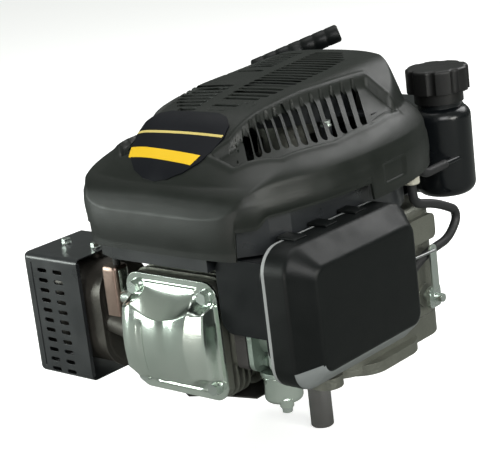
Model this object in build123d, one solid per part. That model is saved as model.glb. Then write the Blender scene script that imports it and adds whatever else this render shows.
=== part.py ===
from build123d import *
import math
import os

# A vertical-shaft, single-cylinder, air-cooled overhead-valve petrol engine of about 200 cc.
# Millimetres, +Z up. The origin is where the crankshaft's axis meets the deck mounting face.
# The cylinder points forward along -Y. The exhaust is on the left (-X), the intake on the right (+X).

# ---------------------------------------------------------------- driving dimensions
SHAFT_R = 11.1  # 7/8 inch output shaft
SHAFT_LENGTH = 80.0
BOLT_CIRCLE = 203.2  # 8 inch deck pattern
BOLT_HOLE_R = 4.25
LUG_R = 15.0
FLANGE_T = 10.0
BORE_R = 35.0
THROW = 25.5  # half of the 51 mm stroke
ROD_LENGTH = 90.0
CYL_Z = 73.6  # height of the cylinder's axis
CASE_X, CASE_Y0, CASE_Y1 = 90.0, -66.0, 96.0  # crankcase half width, front and rear
CASE_Z0, CASE_Z1 = 24.5, 130.0
WALL = 5.5
GASKET = 0.5
DECK_Y = -142.0  # cylinder's top face
HEAD_Y0, HEAD_Y1 = -176.0, -143.0  # rocker face and gasket face of the head
PORT_Y, EXHAUST_Z = -155.5, 58.0  # intake and exhaust ports in the head's sides
PLUG_AXIS = Vector(-0.99, -0.12, 0.02).normalized()
PLUG_SEAT = Vector(-44.0, -156.0, 93.0)
GOV_Y, GOV_Z = 60.0, 44.0  # governor's cross shaft
COVER_BOLT = 40.8  # half spacing of the valve cover's bolts
VALVE_DZ = 14.0  # valves sit this far below and above the cylinder's axis
PUSHROD_X = 41.0
ROCKER_X = PUSHROD_X / 2
MODULE = 1.75
CRANK_TEETH, CAM_TEETH = 22, 44
CAM_X = PUSHROD_X
CAM_DISTANCE = MODULE * (CRANK_TEETH + CAM_TEETH) / 2
CAM_Y = math.sqrt(CAM_DISTANCE**2 - CAM_X**2)
LOBE_NOSE = 14.0
FLOOR_Y = HEAD_Y0 + 12  # floor of the rocker chamber
ROCKER_Y = HEAD_Y0 - 10  # rocker shaft
FLYWHEEL_Z = 150.0
BLOWER_Z0, BLOWER_Z1 = 138.0, 186.0
BLOWER_R = 98.0
LEG_R = 94.0  # legs of the recoil starter
ROPE_Z = 241.0
ROPE_R = 2.0
PULLEY_GROOVE_R = 33.0
ROPE_TURN = 138.65  # plan direction of the starter rope, degrees from +X
PULL_AXIS = Vector(-0.69, 0.605, 0.39).normalized()
HANDLE_CENTRE = Vector(-85.0, 119.0, 267.0)
TANK_END_R = 29.0
TANK_X0, TANK_X1 = -92.0, 75.0
TANK_Z0, TANK_Z1 = 119.0, 205.0
NECK_R = 21.0
NECK_X, NECK_Y = 66.0, 145.0
CAP_R = 30.0  # fuel cap
LEAD_R = 3.5
HOSE_R = 4.25
GUARD_X0, GUARD_X1 = -214.0, -138.0
GUARD_Y0, GUARD_Y1 = -160.0, -84.0
GUARD_Z0, GUARD_Z1 = 0.5, 120.0
GUARD_T = 1.2
CARB_X0, CARB_X1, CARB_Y = 74.0, 107.0, -148.0
BOWL_X, BOWL_Z1 = 88.0, 43.0
GOV_ARM = 46.0  # governor arm, centre to centre
LINK_X = 104.5
INLET_X = 93.0  # carburettor's fuel inlet
THROTTLE_X, CHOKE_X = 86.8, 100.6
DRAIN = (97.0, -156.0)  # float bowl's drain bolt
AIR_Y0, AIR_Y1 = -178.0, -40.0
PLATE_X0, PLATE_X1 = 108.0, 113.0
FILTER_X, FILTER_Y = 100.0, 42.0
OIL_AXIS = Vector(-36, 18, 22).normalized()
OIL_MOUTH = Vector(-106, 92, 88)


# ---------------------------------------------------------------- small helpers
def slab_z(cx, cy, z0, z1, w, d, r):
    """Upright rounded block between heights z0 and z1."""
    return Pos(cx, cy, z0) * extrude(RectangleRounded(w, d, r), z1 - z0)


def slab_y(cx, cz, y0, y1, w, h, r):
    """Rounded block that runs along Y from y0 to y1, with y0 the nearer to the front."""
    plane = Plane(origin=(cx, y1, cz), x_dir=(1, 0, 0), z_dir=(0, -1, 0))
    return extrude(plane * RectangleRounded(w, h, r), y1 - y0)


def slab_x(cy, cz, x0, x1, w, h, r):
    """Rounded block that runs along X from x0 to x1."""
    plane = Plane(origin=(x0, cy, cz), x_dir=(0, 1, 0), z_dir=(1, 0, 0))
    return extrude(plane * RectangleRounded(w, h, r), x1 - x0)


def box(x0, x1, y0, y1, z0, z1):
    """Plain block between two corners."""
    return Pos((x0 + x1) / 2, (y0 + y1) / 2, (z0 + z1) / 2) * Box(x1 - x0, y1 - y0, z1 - z0)


def rod(start, end, r, r_end=None):
    """Round bar or cone between two points."""
    start, end = Vector(*start), Vector(*end)
    along = end - start
    plane = Plane(origin=start, z_dir=along)
    if r_end is None:
        return extrude(plane * Circle(r), along.length)
    return loft([plane * Circle(r), Plane(origin=end, z_dir=along) * Circle(r_end)])


def rod_z(x, y, z0, z1, r):
    """Upright round bar."""
    return Pos(x, y, (z0 + z1) / 2) * Cylinder(r, z1 - z0)


def tube(start, end, r_out, r_in):
    """Round tube between two points."""
    return rod(start, end, r_out) - rod(start, end, r_in)


def bolt(at, axis, length, r=3.0, across=10.0, head=5.0):
    """Flanged hexagon bolt: its flange rests at the point, and the shank runs along -axis."""
    axis = Vector(*axis).normalized()
    at = Vector(*at)
    plane = Plane(origin=at, z_dir=axis)
    flange = extrude(plane * Circle(across * 0.62), 1.4)
    hexagon = extrude(plane.offset(1.4) * RegularPolygon(across / 2, 6, major_radius=False), head)
    shank = extrude(plane * Circle(r), -length)
    return flange + hexagon + shank


def hexagon_nut(at, axis, across, height, bore):
    """Plain hexagon nut on a plane through the point."""
    plane = Plane(origin=at, z_dir=axis)
    return extrude(plane * (RegularPolygon(across / 2, 6, major_radius=False) - Circle(bore)), height)


def several(*solids):
    """Keeps separate solids together as one group."""
    return Compound(children=[s for part in solids for s in part.solids()])


def routed(points, radii, r):
    """Round bar along straight runs joined by tangent arcs."""
    path = FilletPolyline(*points, radius=radii)
    start = path @ 0
    return sweep(Plane(origin=start, z_dir=path % 0) * Circle(r), path=path)


def bend_radii(points, share=0.45):
    """The arc at each corner: a share of the shorter run over the tangent of half the turn."""
    radii = []
    for before, here, after in zip(points, points[1:], points[2:]):
        run_in, run_out = Vector(*here) - Vector(*before), Vector(*after) - Vector(*here)
        half_turn = math.radians(run_in.get_angle(run_out)) / 2
        radii.append(share * min(run_in.length, run_out.length) / math.tan(half_turn))
    return radii


# ---------------------------------------------------------------- gears
def involute_gear(teeth, thickness, bore, phase=0.0, thin=0.12):
    """Spur gear with involute flanks; thin takes backlash off each tooth."""
    pitch_r = MODULE * teeth / 2
    base_r = pitch_r * math.cos(math.radians(20))
    tip_r, root_r = pitch_r + 0.95 * MODULE, pitch_r - 1.2 * MODULE
    start_r = max(base_r, root_r)

    def spread(r):
        a = math.acos(min(1.0, base_r / r))
        return math.tan(a) - a

    half = math.pi / (2 * teeth) + spread(pitch_r) - thin / pitch_r
    steps = 4
    outline = []
    for k in range(teeth):
        middle = phase + 2 * math.pi * k / teeth
        radii = [start_r + (tip_r - start_r) * i / steps for i in range(steps + 1)]
        rising = [(r, middle - half + spread(r)) for r in radii]
        falling = [(r, middle + half - spread(r)) for r in reversed(radii)]
        foot = [root_r] if root_r < start_r - 0.01 else []
        flank = [(r, rising[0][1]) for r in foot] + rising + falling + [(r, falling[-1][1]) for r in foot]
        outline += [(r * math.cos(a), r * math.sin(a)) for r, a in flank]
    return extrude(make_face(Polyline(*outline, close=True)) - Circle(bore), thickness)


# ---------------------------------------------------------------- sump with the deck flange
def lug_places():
    for k in range(4):
        a = math.radians(45 + 90 * k)
        yield BOLT_CIRCLE / 2 * math.cos(a), BOLT_CIRCLE / 2 * math.sin(a)


def make_sump():
    flange = RectangleRounded(200, 96, 28) + Circle(92)
    for x, y in lug_places():
        flange += Pos(x, y) * Circle(LUG_R)
        flange += Rot(0, 0, math.degrees(math.atan2(y, x))) * Pos(80, 0) * Rectangle(42, 20)
    body = extrude(flange, FLANGE_T)
    middle_y = (CASE_Y0 + CASE_Y1) / 2
    depth = CASE_Y1 - CASE_Y0
    body += slab_z(0, middle_y, 2, CASE_Z0 - GASKET, 2 * CASE_X, depth, 30)
    body -= slab_z(0, middle_y, 6, CASE_Z0, 2 * CASE_X - 2 * WALL, depth - 2 * WALL, 25)
    body += rod_z(0, 0, 5, 24, 24)
    body += rod_z(CAM_X, CAM_Y, 5, 20, 14)
    for x, y in sump_bolt_places():
        body += rod_z(x, y, 5, CASE_Z0 - GASKET, 9.5)
        body -= rod_z(x, y, -1, CASE_Z0, 3.3)
        body -= rod_z(x, y, -1, 8, 7.2)
    body -= rod_z(0, 0, -1, 30, 15.05)
    body -= rod_z(0, 0, -1, 7, 19)
    body -= rod_z(CAM_X, CAM_Y, 11, 30, 8.05)
    for x, y in lug_places():
        body += rod_z(x, y, 0, FLANGE_T if y < 0 else 20, 9.5)
        body -= rod_z(x, y, -1, 16, BOLT_HOLE_R)
    return body


def sump_bolt_places():
    return [(side * x, y) for side in (-1, 1) for x, y in ((76, -46), (80, -5), (20, 86))]


def case_outline(z0, z1, shrink=0.0):
    middle_y = (CASE_Y0 + CASE_Y1) / 2
    width, depth = 2 * (CASE_X - shrink), CASE_Y1 - CASE_Y0 - 2 * shrink
    return slab_z(0, middle_y, z0, z1, width, depth, 30 - shrink)


def make_case_gasket():
    ring = case_outline(CASE_Z0 - GASKET, CASE_Z0) - case_outline(CASE_Z0 - 1, CASE_Z0 + 1, WALL)
    for x, y in sump_bolt_places():
        ring += rod_z(x, y, CASE_Z0 - GASKET, CASE_Z0, 8)
        ring -= rod_z(x, y, 0, 40, 3.3)
    return ring & case_outline(0, 40)


# ---------------------------------------------------------------- crankcase and cylinder in one casting
def make_crankcase():
    body = case_outline(CASE_Z0, CASE_Z1)
    body = fillet(body.edges().group_by(Axis.Z)[-1], 8)
    body -= case_outline(CASE_Z0 - 1, CASE_Z1 - 6, WALL)
    body += rod((0, CASE_Y0 + WALL, CYL_Z), (0, DECK_Y, CYL_Z), BORE_R + 4.5)
    for k in range(8):
        y = -76 - 8 * k
        body += slab_y(0, CYL_Z, y - 2.4, y, 108, 108, 16)
    body += slab_y(0, CYL_Z, DECK_Y, DECK_Y + 7, 100, 96, 14)
    body += rod_z(0, 0, 116, 136, 22)
    body += rod_z(CAM_X, CAM_Y, 112, 128, 13)
    for x, y in sump_bolt_places():
        body += rod_z(x, y, CASE_Z0, CASE_Z0 + 22, 8)
        body -= rod_z(x, y, CASE_Z0 - 1, CASE_Z0 + 18, 3.0)
    for x, y in blower_posts():
        body += rod_z(x, y, 120, 138, 7)
        body -= rod_z(x, y, 126, 139, 2.6)
    # breather chamber and governor boss on the right side wall
    body += slab_x(60, 108, CASE_X - 2, CASE_X + 5, 40, 24, 6)
    body += rod((CASE_X - 8, GOV_Y, GOV_Z), (CASE_X + 2, GOV_Y, GOV_Z), 11)
    # oil filler boss on the left rear
    body += rod((-70, 74, 66), (-106, 92, 88), 15)
    body -= rod((-62, 70, 61.1), (-110, 94, 90.4), 9.3)
    # rear lug that carries the tank bracket
    body += box(-30, 30, CASE_Y1 - 2, CASE_Y1 + 6, 96, 112)
    body -= rod((0, CASE_Y0 + 20, CYL_Z), (0, DECK_Y - 1, CYL_Z), BORE_R)
    for dz in (-VALVE_DZ, VALVE_DZ):
        body -= rod((PUSHROD_X, CASE_Y0 + 12, CYL_Z + dz), (PUSHROD_X, DECK_Y - 1, CYL_Z + dz), 3.4)
    body -= rod_z(0, 0, 110, 140, 14.05)
    body -= rod_z(CAM_X, CAM_Y, 108, 121, 8.05)
    body -= rod((CASE_X - 12, GOV_Y, GOV_Z), (CASE_X + 4, GOV_Y, GOV_Z), 4.05)
    for x, z in head_bolt_places():
        body -= rod((x, DECK_Y - 1, z), (x, DECK_Y + 16, z), 4)
    for x in (-40, 40):
        body -= rod((x, -60, 28), (x, -75, 28), 2.2)
    for x in (-20, 20):
        body -= rod((x, 90, 104), (x, 110, 104), 3)
    return body


def blower_posts():
    return [(-60, -30), (60, -30), (-56, 62), (56, 62)]


def head_bolt_places():
    return [(x, CYL_Z + dz) for x in (-38, 38) for dz in (-30, 30)]


# ---------------------------------------------------------------- cylinder head and its cover
def make_head_gasket():
    plate = slab_y(0, CYL_Z, HEAD_Y1, DECK_Y, 100, 96, 14)
    plate -= rod((0, DECK_Y + 1, CYL_Z), (0, HEAD_Y1 - 1, CYL_Z), BORE_R + 0.5)
    for dz in (-VALVE_DZ, VALVE_DZ):
        plate -= rod((PUSHROD_X, DECK_Y + 1, CYL_Z + dz), (PUSHROD_X, HEAD_Y1 - 1, CYL_Z + dz), 3.4)
    for x, z in head_bolt_places():
        plate -= rod((x, DECK_Y + 1, z), (x, HEAD_Y1 - 1, z), 4.2)
    return plate


def make_head():
    body = slab_y(0, CYL_Z, HEAD_Y0, HEAD_Y1, 96, 92, 12)
    body += slab_y(0, CYL_Z, HEAD_Y0, HEAD_Y0 + 7, 104, 104, 12)
    for k in range(3):
        y = -164 + 7 * k
        body += slab_y(0, CYL_Z, y - 2.2, y, 108, 108, 16)
    body += slab_x(PORT_Y, CYL_Z, 40, 60, 24, 52, 8)
    body += slab_x(PORT_Y, EXHAUST_Z, -60, -40, 24, 44, 8)
    body -= rod((61, PORT_Y, CYL_Z), (26, PORT_Y, CYL_Z), 10)
    body -= rod((-61, PORT_Y, EXHAUST_Z), (-26, PORT_Y, EXHAUST_Z), 10)
    body -= rod((0, HEAD_Y1 + 1, CYL_Z), (0, HEAD_Y1 - 6, CYL_Z), 32)
    body -= slab_y(14, CYL_Z, HEAD_Y0 - 1, FLOOR_Y, 66, 58, 8)
    for dz in (-VALVE_DZ, VALVE_DZ):
        z = CYL_Z + dz
        body -= rod((PUSHROD_X, HEAD_Y1 + 1, z), (PUSHROD_X, HEAD_Y0, z), 3.4)
        body -= rod((0, HEAD_Y1 - 4, z), (0, HEAD_Y0 + 10, z), 3.06)
    for x, z in head_bolt_places():
        body -= rod((x, HEAD_Y1 + 1, z), (x, HEAD_Y0 - 1, z), 4.2)
        body -= rod((x, FLOOR_Y, z), (x, HEAD_Y0 - 1, z), 8)
    for x, z in cover_bolt_places():
        body -= rod((x, HEAD_Y0 - 1, z), (x, HEAD_Y0 + 14, z), 3)
    for y, z in exhaust_stud_places():
        body -= rod((-61, y, z), (-48, y, z), 3)
    for y, z in intake_stud_places():
        body -= rod((61, y, z), (48, y, z), 3)
    body -= rod(PLUG_SEAT, PLUG_SEAT - PLUG_AXIS * 20, 6.95)
    body -= rod(PLUG_SEAT, PLUG_SEAT + PLUG_AXIS * 60, 12)
    return body + make_rocker_shaft()


def exhaust_stud_places():
    return [(PORT_Y, EXHAUST_Z + dz) for dz in (-17, 17)]


def intake_stud_places():
    return [(PORT_Y, CYL_Z + dz) for dz in (-19, 19)]


def cover_bolt_places():
    return [(x, CYL_Z + dz) for x in (-COVER_BOLT, COVER_BOLT) for dz in (-COVER_BOLT, COVER_BOLT)]


def cover_outline(grow=0.0):
    """Outline of the valve cover's dome: a cross that leaves the corners to the bolts."""
    wide = RectangleRounded(98 + 2 * grow, 58 + 2 * grow, 12)
    tall = RectangleRounded(60 + 2 * grow, 86 + 2 * grow, 12)
    return wide + tall


def make_cover_gasket():
    plate = slab_y(0, CYL_Z, HEAD_Y0 - 1, HEAD_Y0, 104, 104, 12)
    plane = Plane(origin=(0, HEAD_Y0 + 1, CYL_Z), x_dir=(1, 0, 0), z_dir=(0, -1, 0))
    plate -= extrude(plane * cover_outline(-2), 4)
    for x, z in cover_bolt_places():
        plate -= rod((x, HEAD_Y0 + 1, z), (x, HEAD_Y0 - 2, z), 3.3)
    return plate


def make_valve_cover():
    face_y = HEAD_Y0 - 1
    plane = Plane(origin=(0, face_y, CYL_Z), x_dir=(1, 0, 0), z_dir=(0, -1, 0))
    body = extrude(plane * RectangleRounded(106, 106, 13), 2.2)
    body += extrude(plane * cover_outline(), 27, taper=9)
    body -= extrude(plane.offset(-0.01) * cover_outline(-1.8), 25.2, taper=9)
    for x, z in cover_bolt_places():
        body -= rod((x, face_y + 1, z), (x, face_y - 4, z), 3.3)
    return body


def make_head_bolts():
    y = FLOOR_Y
    forward = (0, -1, 0)
    places = [(x, y, z) for x, z in head_bolt_places()]
    return several(*[bolt(at, forward, 26, r=3.9, across=11, head=6) for at in places])


# ---------------------------------------------------------------- crankshaft, piston and camshaft
def make_crankshaft():
    shaft = rod_z(0, 0, -SHAFT_LENGTH, 8, SHAFT_R)
    shaft = chamfer(shaft.edges().group_by(Axis.Z)[0], 1.0)
    shaft += rod_z(0, 0, 7.5, 52, 15)
    web = (Circle(37.5) & (Pos(0, 25) * Rectangle(80, 50))) + Pos(0, -10) * Rectangle(24, 34)
    web += Pos(0, -THROW) * Circle(12)
    shaft += Pos(0, 0, 51) * extrude(web, 11.6)
    shaft += Pos(0, 0, 84.6) * extrude(web, 11.6)
    shaft += rod_z(0, -THROW, 60, 86, 12)
    shaft += rod_z(0, 0, 96, 144, 14)
    shaft += rod((0, 0, 144), (0, 0, 182), 14, 11)
    shaft += rod_z(0, 0, 182, 202, 8)
    shaft -= rod_z(0, 0, -SHAFT_LENGTH - 1, -SHAFT_LENGTH + 28, 4.3)
    shaft -= box(-2.38, 2.38, SHAFT_R - 2.4, SHAFT_R + 2, -SHAFT_LENGTH + 18, -SHAFT_LENGTH + 52)
    shaft -= box(-2, 2, 10.4, 15, 152, 168)
    return shaft


def make_piston():
    crown = -(THROW + ROD_LENGTH + 25)
    body = rod((0, crown, CYL_Z), (0, crown + 44, CYL_Z), BORE_R - 0.06)
    body -= rod((0, crown + 8.5, CYL_Z), (0, crown + 45, CYL_Z), 29.5)
    for z0, z1 in ((CYL_Z - 33, CYL_Z - 12), (CYL_Z + 12, CYL_Z + 33)):
        boss = rod_z(0, crown + 25, z0, z1, 13)
        body += boss & rod((0, crown + 2, CYL_Z), (0, crown + 43, CYL_Z), BORE_R - 2)
    body -= rod_z(0, crown + 25, CYL_Z - 40, CYL_Z + 40, 9.02)
    for y in piston_ring_places():
        body -= tube((0, y, CYL_Z), (0, y + 1.6, CYL_Z), BORE_R + 1, BORE_R - 3.1)
    return body


def piston_ring_places():
    crown = -(THROW + ROD_LENGTH + 25)
    return [crown + 3.5, crown + 8, crown + 13]


def make_piston_rings():
    rings = []
    for y in piston_ring_places():
        rings.append(tube((0, y + 0.1, CYL_Z), (0, y + 1.5, CYL_Z), BORE_R - 0.03, BORE_R - 2.9))
    return several(*rings)


def make_wrist_pin():
    y = -(THROW + ROD_LENGTH)
    return tube((0, y, CYL_Z - 29), (0, y, CYL_Z + 29), 9, 5.5)


def make_connecting_rod():
    small_y, big_y = -(THROW + ROD_LENGTH), -THROW
    body = rod_z(0, small_y, CYL_Z - 10, CYL_Z + 10, 12.5)
    body += rod_z(0, big_y, CYL_Z - 10, CYL_Z + 10, 18.5)
    body += box(-7, 7, small_y + 5, big_y - 10, CYL_Z - 6, CYL_Z + 6)
    body -= rod_z(0, small_y, CYL_Z - 20, CYL_Z + 20, 9.05)
    body -= rod_z(0, big_y, CYL_Z - 20, CYL_Z + 20, 12.05)
    return body


def make_camshaft():
    shaft = rod_z(CAM_X, CAM_Y, 12, 120, 8)
    for dz, turn in ((-VALVE_DZ, 50), (VALVE_DZ, 130)):
        a = math.radians(turn)
        lobe = Circle(10) + Pos((LOBE_NOSE - 5) * math.cos(a), (LOBE_NOSE - 5) * math.sin(a)) * Circle(5)
        shaft += Pos(CAM_X, CAM_Y, CYL_Z + dz - 3.5) * extrude(lobe, 7)
    return shaft


def make_gears():
    """Crank and cam gears, turned so that a tooth of one stands in a gap of the other."""
    line = math.atan2(CAM_Y, CAM_X)
    pinion = involute_gear(CRANK_TEETH, 10, 15, phase=line)
    wheel = involute_gear(CAM_TEETH, 9, 8, phase=line + math.pi + math.pi / CAM_TEETH)
    wheel -= extrude(Circle(30) - Circle(14), 3)
    for k in range(5):
        a = 2 * math.pi * k / 5
        wheel -= Pos(22 * math.cos(a), 22 * math.sin(a)) * extrude(Circle(5.5), 12)
    return Pos(0, 0, 30) * pinion, Pos(CAM_X, CAM_Y, 30.5) * wheel


# ---------------------------------------------------------------- valve train
def make_valve(dz):
    z = CYL_Z + dz
    face = HEAD_Y1 - 6
    stem = rod((0, face + 1, z), (0, ROCKER_Y + 5, z), 3)
    stem += rod((0, ROCKER_Y + 5, z), (0, ROCKER_Y + 3.4, z), 2.4, 1.2)
    disc = rod((0, face + 2.0, z), (0, face + 0.05, z), 13)
    keeper = rod((0, ROCKER_Y + 8.5, z), (0, ROCKER_Y + 6, z), 9.5)
    return stem + disc + keeper


def make_valve_spring(dz):
    """Coil between the chamber's floor and the keeper; its wire is 2 mm thick."""
    coil = Helix(pitch=3.4, height=11.0, radius=7.4)
    wire = sweep(Plane(origin=coil @ 0, z_dir=coil % 0) * Circle(0.95), path=coil, is_frenet=True)
    seat = Plane(origin=(0, FLOOR_Y - 1.1, CYL_Z + dz), x_dir=(1, 0, 0), z_dir=(0, -1, 0))
    return seat * wire


def make_rocker(dz):
    z = CYL_Z + dz
    arm = slab_z(ROCKER_X, ROCKER_Y, z - 4, z + 4, 48, 6, 2.9)
    arm += rod_z(ROCKER_X, ROCKER_Y, z - 5, z + 5, 6)
    return arm - rod_z(ROCKER_X, ROCKER_Y, z - 8, z + 8, 3.05)


def make_rocker_shaft():
    """Shaft through both rockers, on three posts that stand on the floor of the rocker chamber."""
    shaft = rod_z(ROCKER_X, ROCKER_Y, CYL_Z - 24, CYL_Z + 24, 3)
    for z0, z1 in ((CYL_Z - 26, CYL_Z - 20), (CYL_Z + 20, CYL_Z + 26), (CYL_Z - 4, CYL_Z + 4)):
        shaft += box(ROCKER_X - 4, ROCKER_X + 4, ROCKER_Y - 4, FLOOR_Y, z0, z1)
    return shaft


def make_pushrod(dz):
    z = CYL_Z + dz
    foot_y = CAM_Y - LOBE_NOSE - 0.4
    body = rod((PUSHROD_X, foot_y, z), (PUSHROD_X, ROCKER_Y + 5, z), 2.5)
    body += rod((PUSHROD_X, ROCKER_Y + 5, z), (PUSHROD_X, ROCKER_Y + 3.4, z), 2.4, 1.2)
    return body + rod((PUSHROD_X, foot_y, z), (PUSHROD_X, foot_y - 3.5, z), 7)


# ---------------------------------------------------------------- flywheel, fan and starter cup
def make_flywheel():
    body = rod_z(0, 0, FLYWHEEL_Z, FLYWHEEL_Z + 8, 84)
    body += rod_z(0, 0, FLYWHEEL_Z - 4, 180, 24)
    body += rod_z(0, 0, FLYWHEEL_Z, FLYWHEEL_Z + 26, 88) - rod_z(0, 0, FLYWHEEL_Z - 1, FLYWHEEL_Z + 30, 72)
    body -= rod((0, 0, 144), (0, 0, 182), 14.0, 11.0)
    for k in range(6):
        a = math.pi * k / 3
        body -= rod_z(46 * math.cos(a), 46 * math.sin(a), FLYWHEEL_Z - 1, FLYWHEEL_Z + 12, 11)
    body -= box(-2, 2, 9, 16, 150, 184)
    return body + make_starter_cup()


def make_fan():
    """Plastic fan: a ring plate with backward-curved blades."""
    base = FLYWHEEL_Z + 26
    body = rod_z(0, 0, base, base + 3, 88) - rod_z(0, 0, base - 1, base + 4, 38)
    blade = Pos(66, -52) * (Circle(62) - Circle(59.6))
    sector = Pos(62, 12) * Rectangle(46, 30)
    blade = (blade & sector) & (Circle(87) - Circle(44))
    for k in range(18):
        body += Rot(0, 0, 20 * k) * Pos(0, 0, base + 2) * extrude(blade, 24)
    return body


def make_starter_cup():
    """Cup on the flywheel's hub that the starter's pawls drive."""
    body = rod_z(0, 0, 180, 222, 31) - rod_z(0, 0, 184, 223, 28.5) - rod_z(0, 0, 170, 190, 11.1)
    for k in range(3):
        body -= Rot(0, 0, 120 * k) * box(20, 36, -9, 9, 194, 212)
    return body


# ---------------------------------------------------------------- recoil starter
def rope_line(s, z=ROPE_Z):
    """A point on the rope's run in the starter, s millimetres past the pulley's tangent."""
    a = math.radians(ROPE_TURN)
    along, across = Vector(math.cos(a), math.sin(a)), Vector(math.sin(a), -math.cos(a))
    return across * PULLEY_GROOVE_R + along * s + Vector(0, 0, z)


def starter_leg_places():
    angles = [math.radians(a) for a in (90, 210, 330)]
    return [(LEG_R * math.cos(a), LEG_R * math.sin(a)) for a in angles]


def make_starter_housing():
    """Steel dish that hangs over the pulley on three legs and carries the pulley's post."""
    body = rod_z(0, 0, 228, 252, 60) - rod_z(0, 0, 227, 250, 58)
    for k in range(6):
        a = math.radians(60 * k + 15)
        body -= rod_z(34 * math.cos(a), 34 * math.sin(a), 240, 260, 9)
    body += rod_z(0, 0, 229, 251, 5)
    for x, y in starter_leg_places():
        body += Rot(0, 0, a) * box(58.2, LEG_R, -7, 7, 228, 231)
        body += rod_z(x, y, BLOWER_Z1, 231, 5)
        body -= rod_z(x, y, BLOWER_Z1 - 1, 240, 2.6)
    exit_angle = math.degrees(math.atan2(rope_line(46).Y, rope_line(46).X))
    return body - Rot(0, 0, exit_angle) * box(30, 70, -8, 8, 232, 249)


def make_pulley():
    groove = rod_z(0, 0, 237.4, 244.9, 40) - rod_z(0, 0, 237, 245, PULLEY_GROOVE_R - ROPE_R - 0.1)
    body = rod_z(0, 0, 236, 246, 37) - groove
    body -= rod_z(0, 0, 230, 250, 5.06)
    body -= rod_z(0, 0, 242.5, 247, 24) - rod_z(0, 0, 240, 250, 9)
    body += rod_z(0, 0, 230, 236, 20) - rod_z(0, 0, 229, 237, 5.06)
    return body


def make_recoil_spring():
    """Flat spiral spring in the pulley's well."""
    turns, inner, outer, half = 4, 10.5, 22.5, 0.5
    steps = 24 * turns
    edge = [[], []]
    for i in range(steps + 1):
        a, r = 2 * math.pi * turns * i / steps, inner + (outer - inner) * i / steps
        for side, grow in enumerate((-half, half)):
            edge[side].append(((r + grow) * math.cos(a), (r + grow) * math.sin(a)))
    inner, outer = edge
    ends = Line(inner[-1], outer[-1]) + Line(outer[0], inner[0])
    face = make_face(Spline(*inner) + Spline(*outer) + ends)
    return Pos(0, 0, 243) * extrude(face, 5)


def rope_guide_point():
    return HANDLE_CENTRE - PULL_AXIS * 34


def make_rope_guide():
    """Eyelet in the cover's rear wall that the grip's stem rests on."""
    mouth = rope_guide_point()
    return tube(mouth - PULL_AXIS * 12, mouth, 10, 4)


def make_grip():
    """T-shaped grip: a crossbar with a tapered stem."""
    across = PULL_AXIS.cross(Vector(0, 0, 1)).normalized()
    plane = Plane(origin=HANDLE_CENTRE - across * 46, x_dir=PULL_AXIS, z_dir=across)
    bar = extrude(plane * Circle(8.5), 92)
    bar = fillet(bar.edges().filter_by(GeomType.CIRCLE), 2.5)
    stem = rod(rope_guide_point() + PULL_AXIS * 0.4, HANDLE_CENTRE, 6.0, 9.0)
    body = bar + stem
    return body - rod(rope_guide_point() - PULL_AXIS * 2, HANDLE_CENTRE - PULL_AXIS * 2, 2.4)


def make_rope():
    """The rope's run from the pulley through the eyelet into the grip."""
    inlet = rope_guide_point() - PULL_AXIS * 14
    end = HANDLE_CENTRE - PULL_AXIS * 3
    points = [tuple(p) for p in (rope_line(0), inlet, end)]
    return routed(points, bend_radii(points), ROPE_R)


# ---------------------------------------------------------------- plastic engine cover
COVER_T = 2.6
COVER_PLAN = [
    (60, -188), (84, -184), (97, -174), (105, -158), (111, -138), (118, -112), (122, -80), (124, -45),
    (123, -10), (119, 22), (111, 50), (98, 78), (80, 98), (52, 112), (20, 120),
]
COVER_SIDE = [
    (-189, 142), (-188, 186), (-182, 199), (-173, 209), (-162, 218), (-121, 249), (-108, 254),
    (-90, 257.5), (-50, 263), (0, 266.5), (50, 269.5), (80, 270), (98, 266), (110, 258),
    (118, 245), (121, 228), (122, 142),
]
COVER_FRONT = [
    (125, 142), (124, 206), (121, 216), (115, 224), (103, 233), (70, 258), (62, 263), (48, 272),
    (20, 276),
]


def mirrored_face(points):
    return make_face(Polyline(*points, *[(-x, y) for x, y in reversed(points)], close=True))


def cover_side(grow):
    plane = Plane(origin=(0, 0, 0), x_dir=(0, 1, 0), z_dir=(1, 0, 0))
    face = offset(make_face(Polyline(*COVER_SIDE, close=True)), grow, kind=Kind.INTERSECTION)
    return extrude(plane * face, 140, both=True)


def cover_solid(grow):
    """The cover's outer shape, or one drawn in by a negative amount: three views in common."""
    plan = extrude(offset(mirrored_face(COVER_PLAN), grow, kind=Kind.INTERSECTION), 300)
    plane = Plane(origin=(0, 0, 0), x_dir=(1, 0, 0), z_dir=(0, -1, 0))
    front_face = offset(mirrored_face(COVER_FRONT), grow, kind=Kind.INTERSECTION)
    front = extrude(plane * front_face, 240, both=True)
    return plan & cover_side(grow) & front


def cover_trim():
    """What is cut from the skirt: it is low only over the cylinder head."""
    cut = box(-200, 200, -160, 200, 100, 168) + box(-200, 200, -240, 200, 100, 150)
    cut += box(46, 200, -170, -45, 100, 183)
    return cut + box(-200, -84, -240, -150, 100, 168) + box(84, 200, -240, -150, 100, 175)


def make_cover():
    shell = cover_solid(0) - cover_solid(-COVER_T) - box(-200, 200, -300, 200, 100, 150)
    shell -= cover_trim()
    for side in (-1, 1):
        for k in range(20):
            inner, outer = 6, 56 if k > 4 else 34 + 5 * k
            shell -= Pos(side * (inner + outer) / 2, -86 + 8 * k, 255) * Box(outer - inner, 3.6, 60)
        for k in range(15):
            y, length = -128 + 10.2 * k, 9 + 1.5 * k
            shell -= Pos(side * (102 - length / 2), y, 245) * Box(length, 4.4, 60)
    mouth = rope_guide_point()
    shell -= rod(mouth - PULL_AXIS * 40, mouth + PULL_AXIS * 20, 9)
    shell += make_rope_guide() + tube(mouth - PULL_AXIS * 12, mouth - PULL_AXIS * 6, 15, 4)
    return shell


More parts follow.
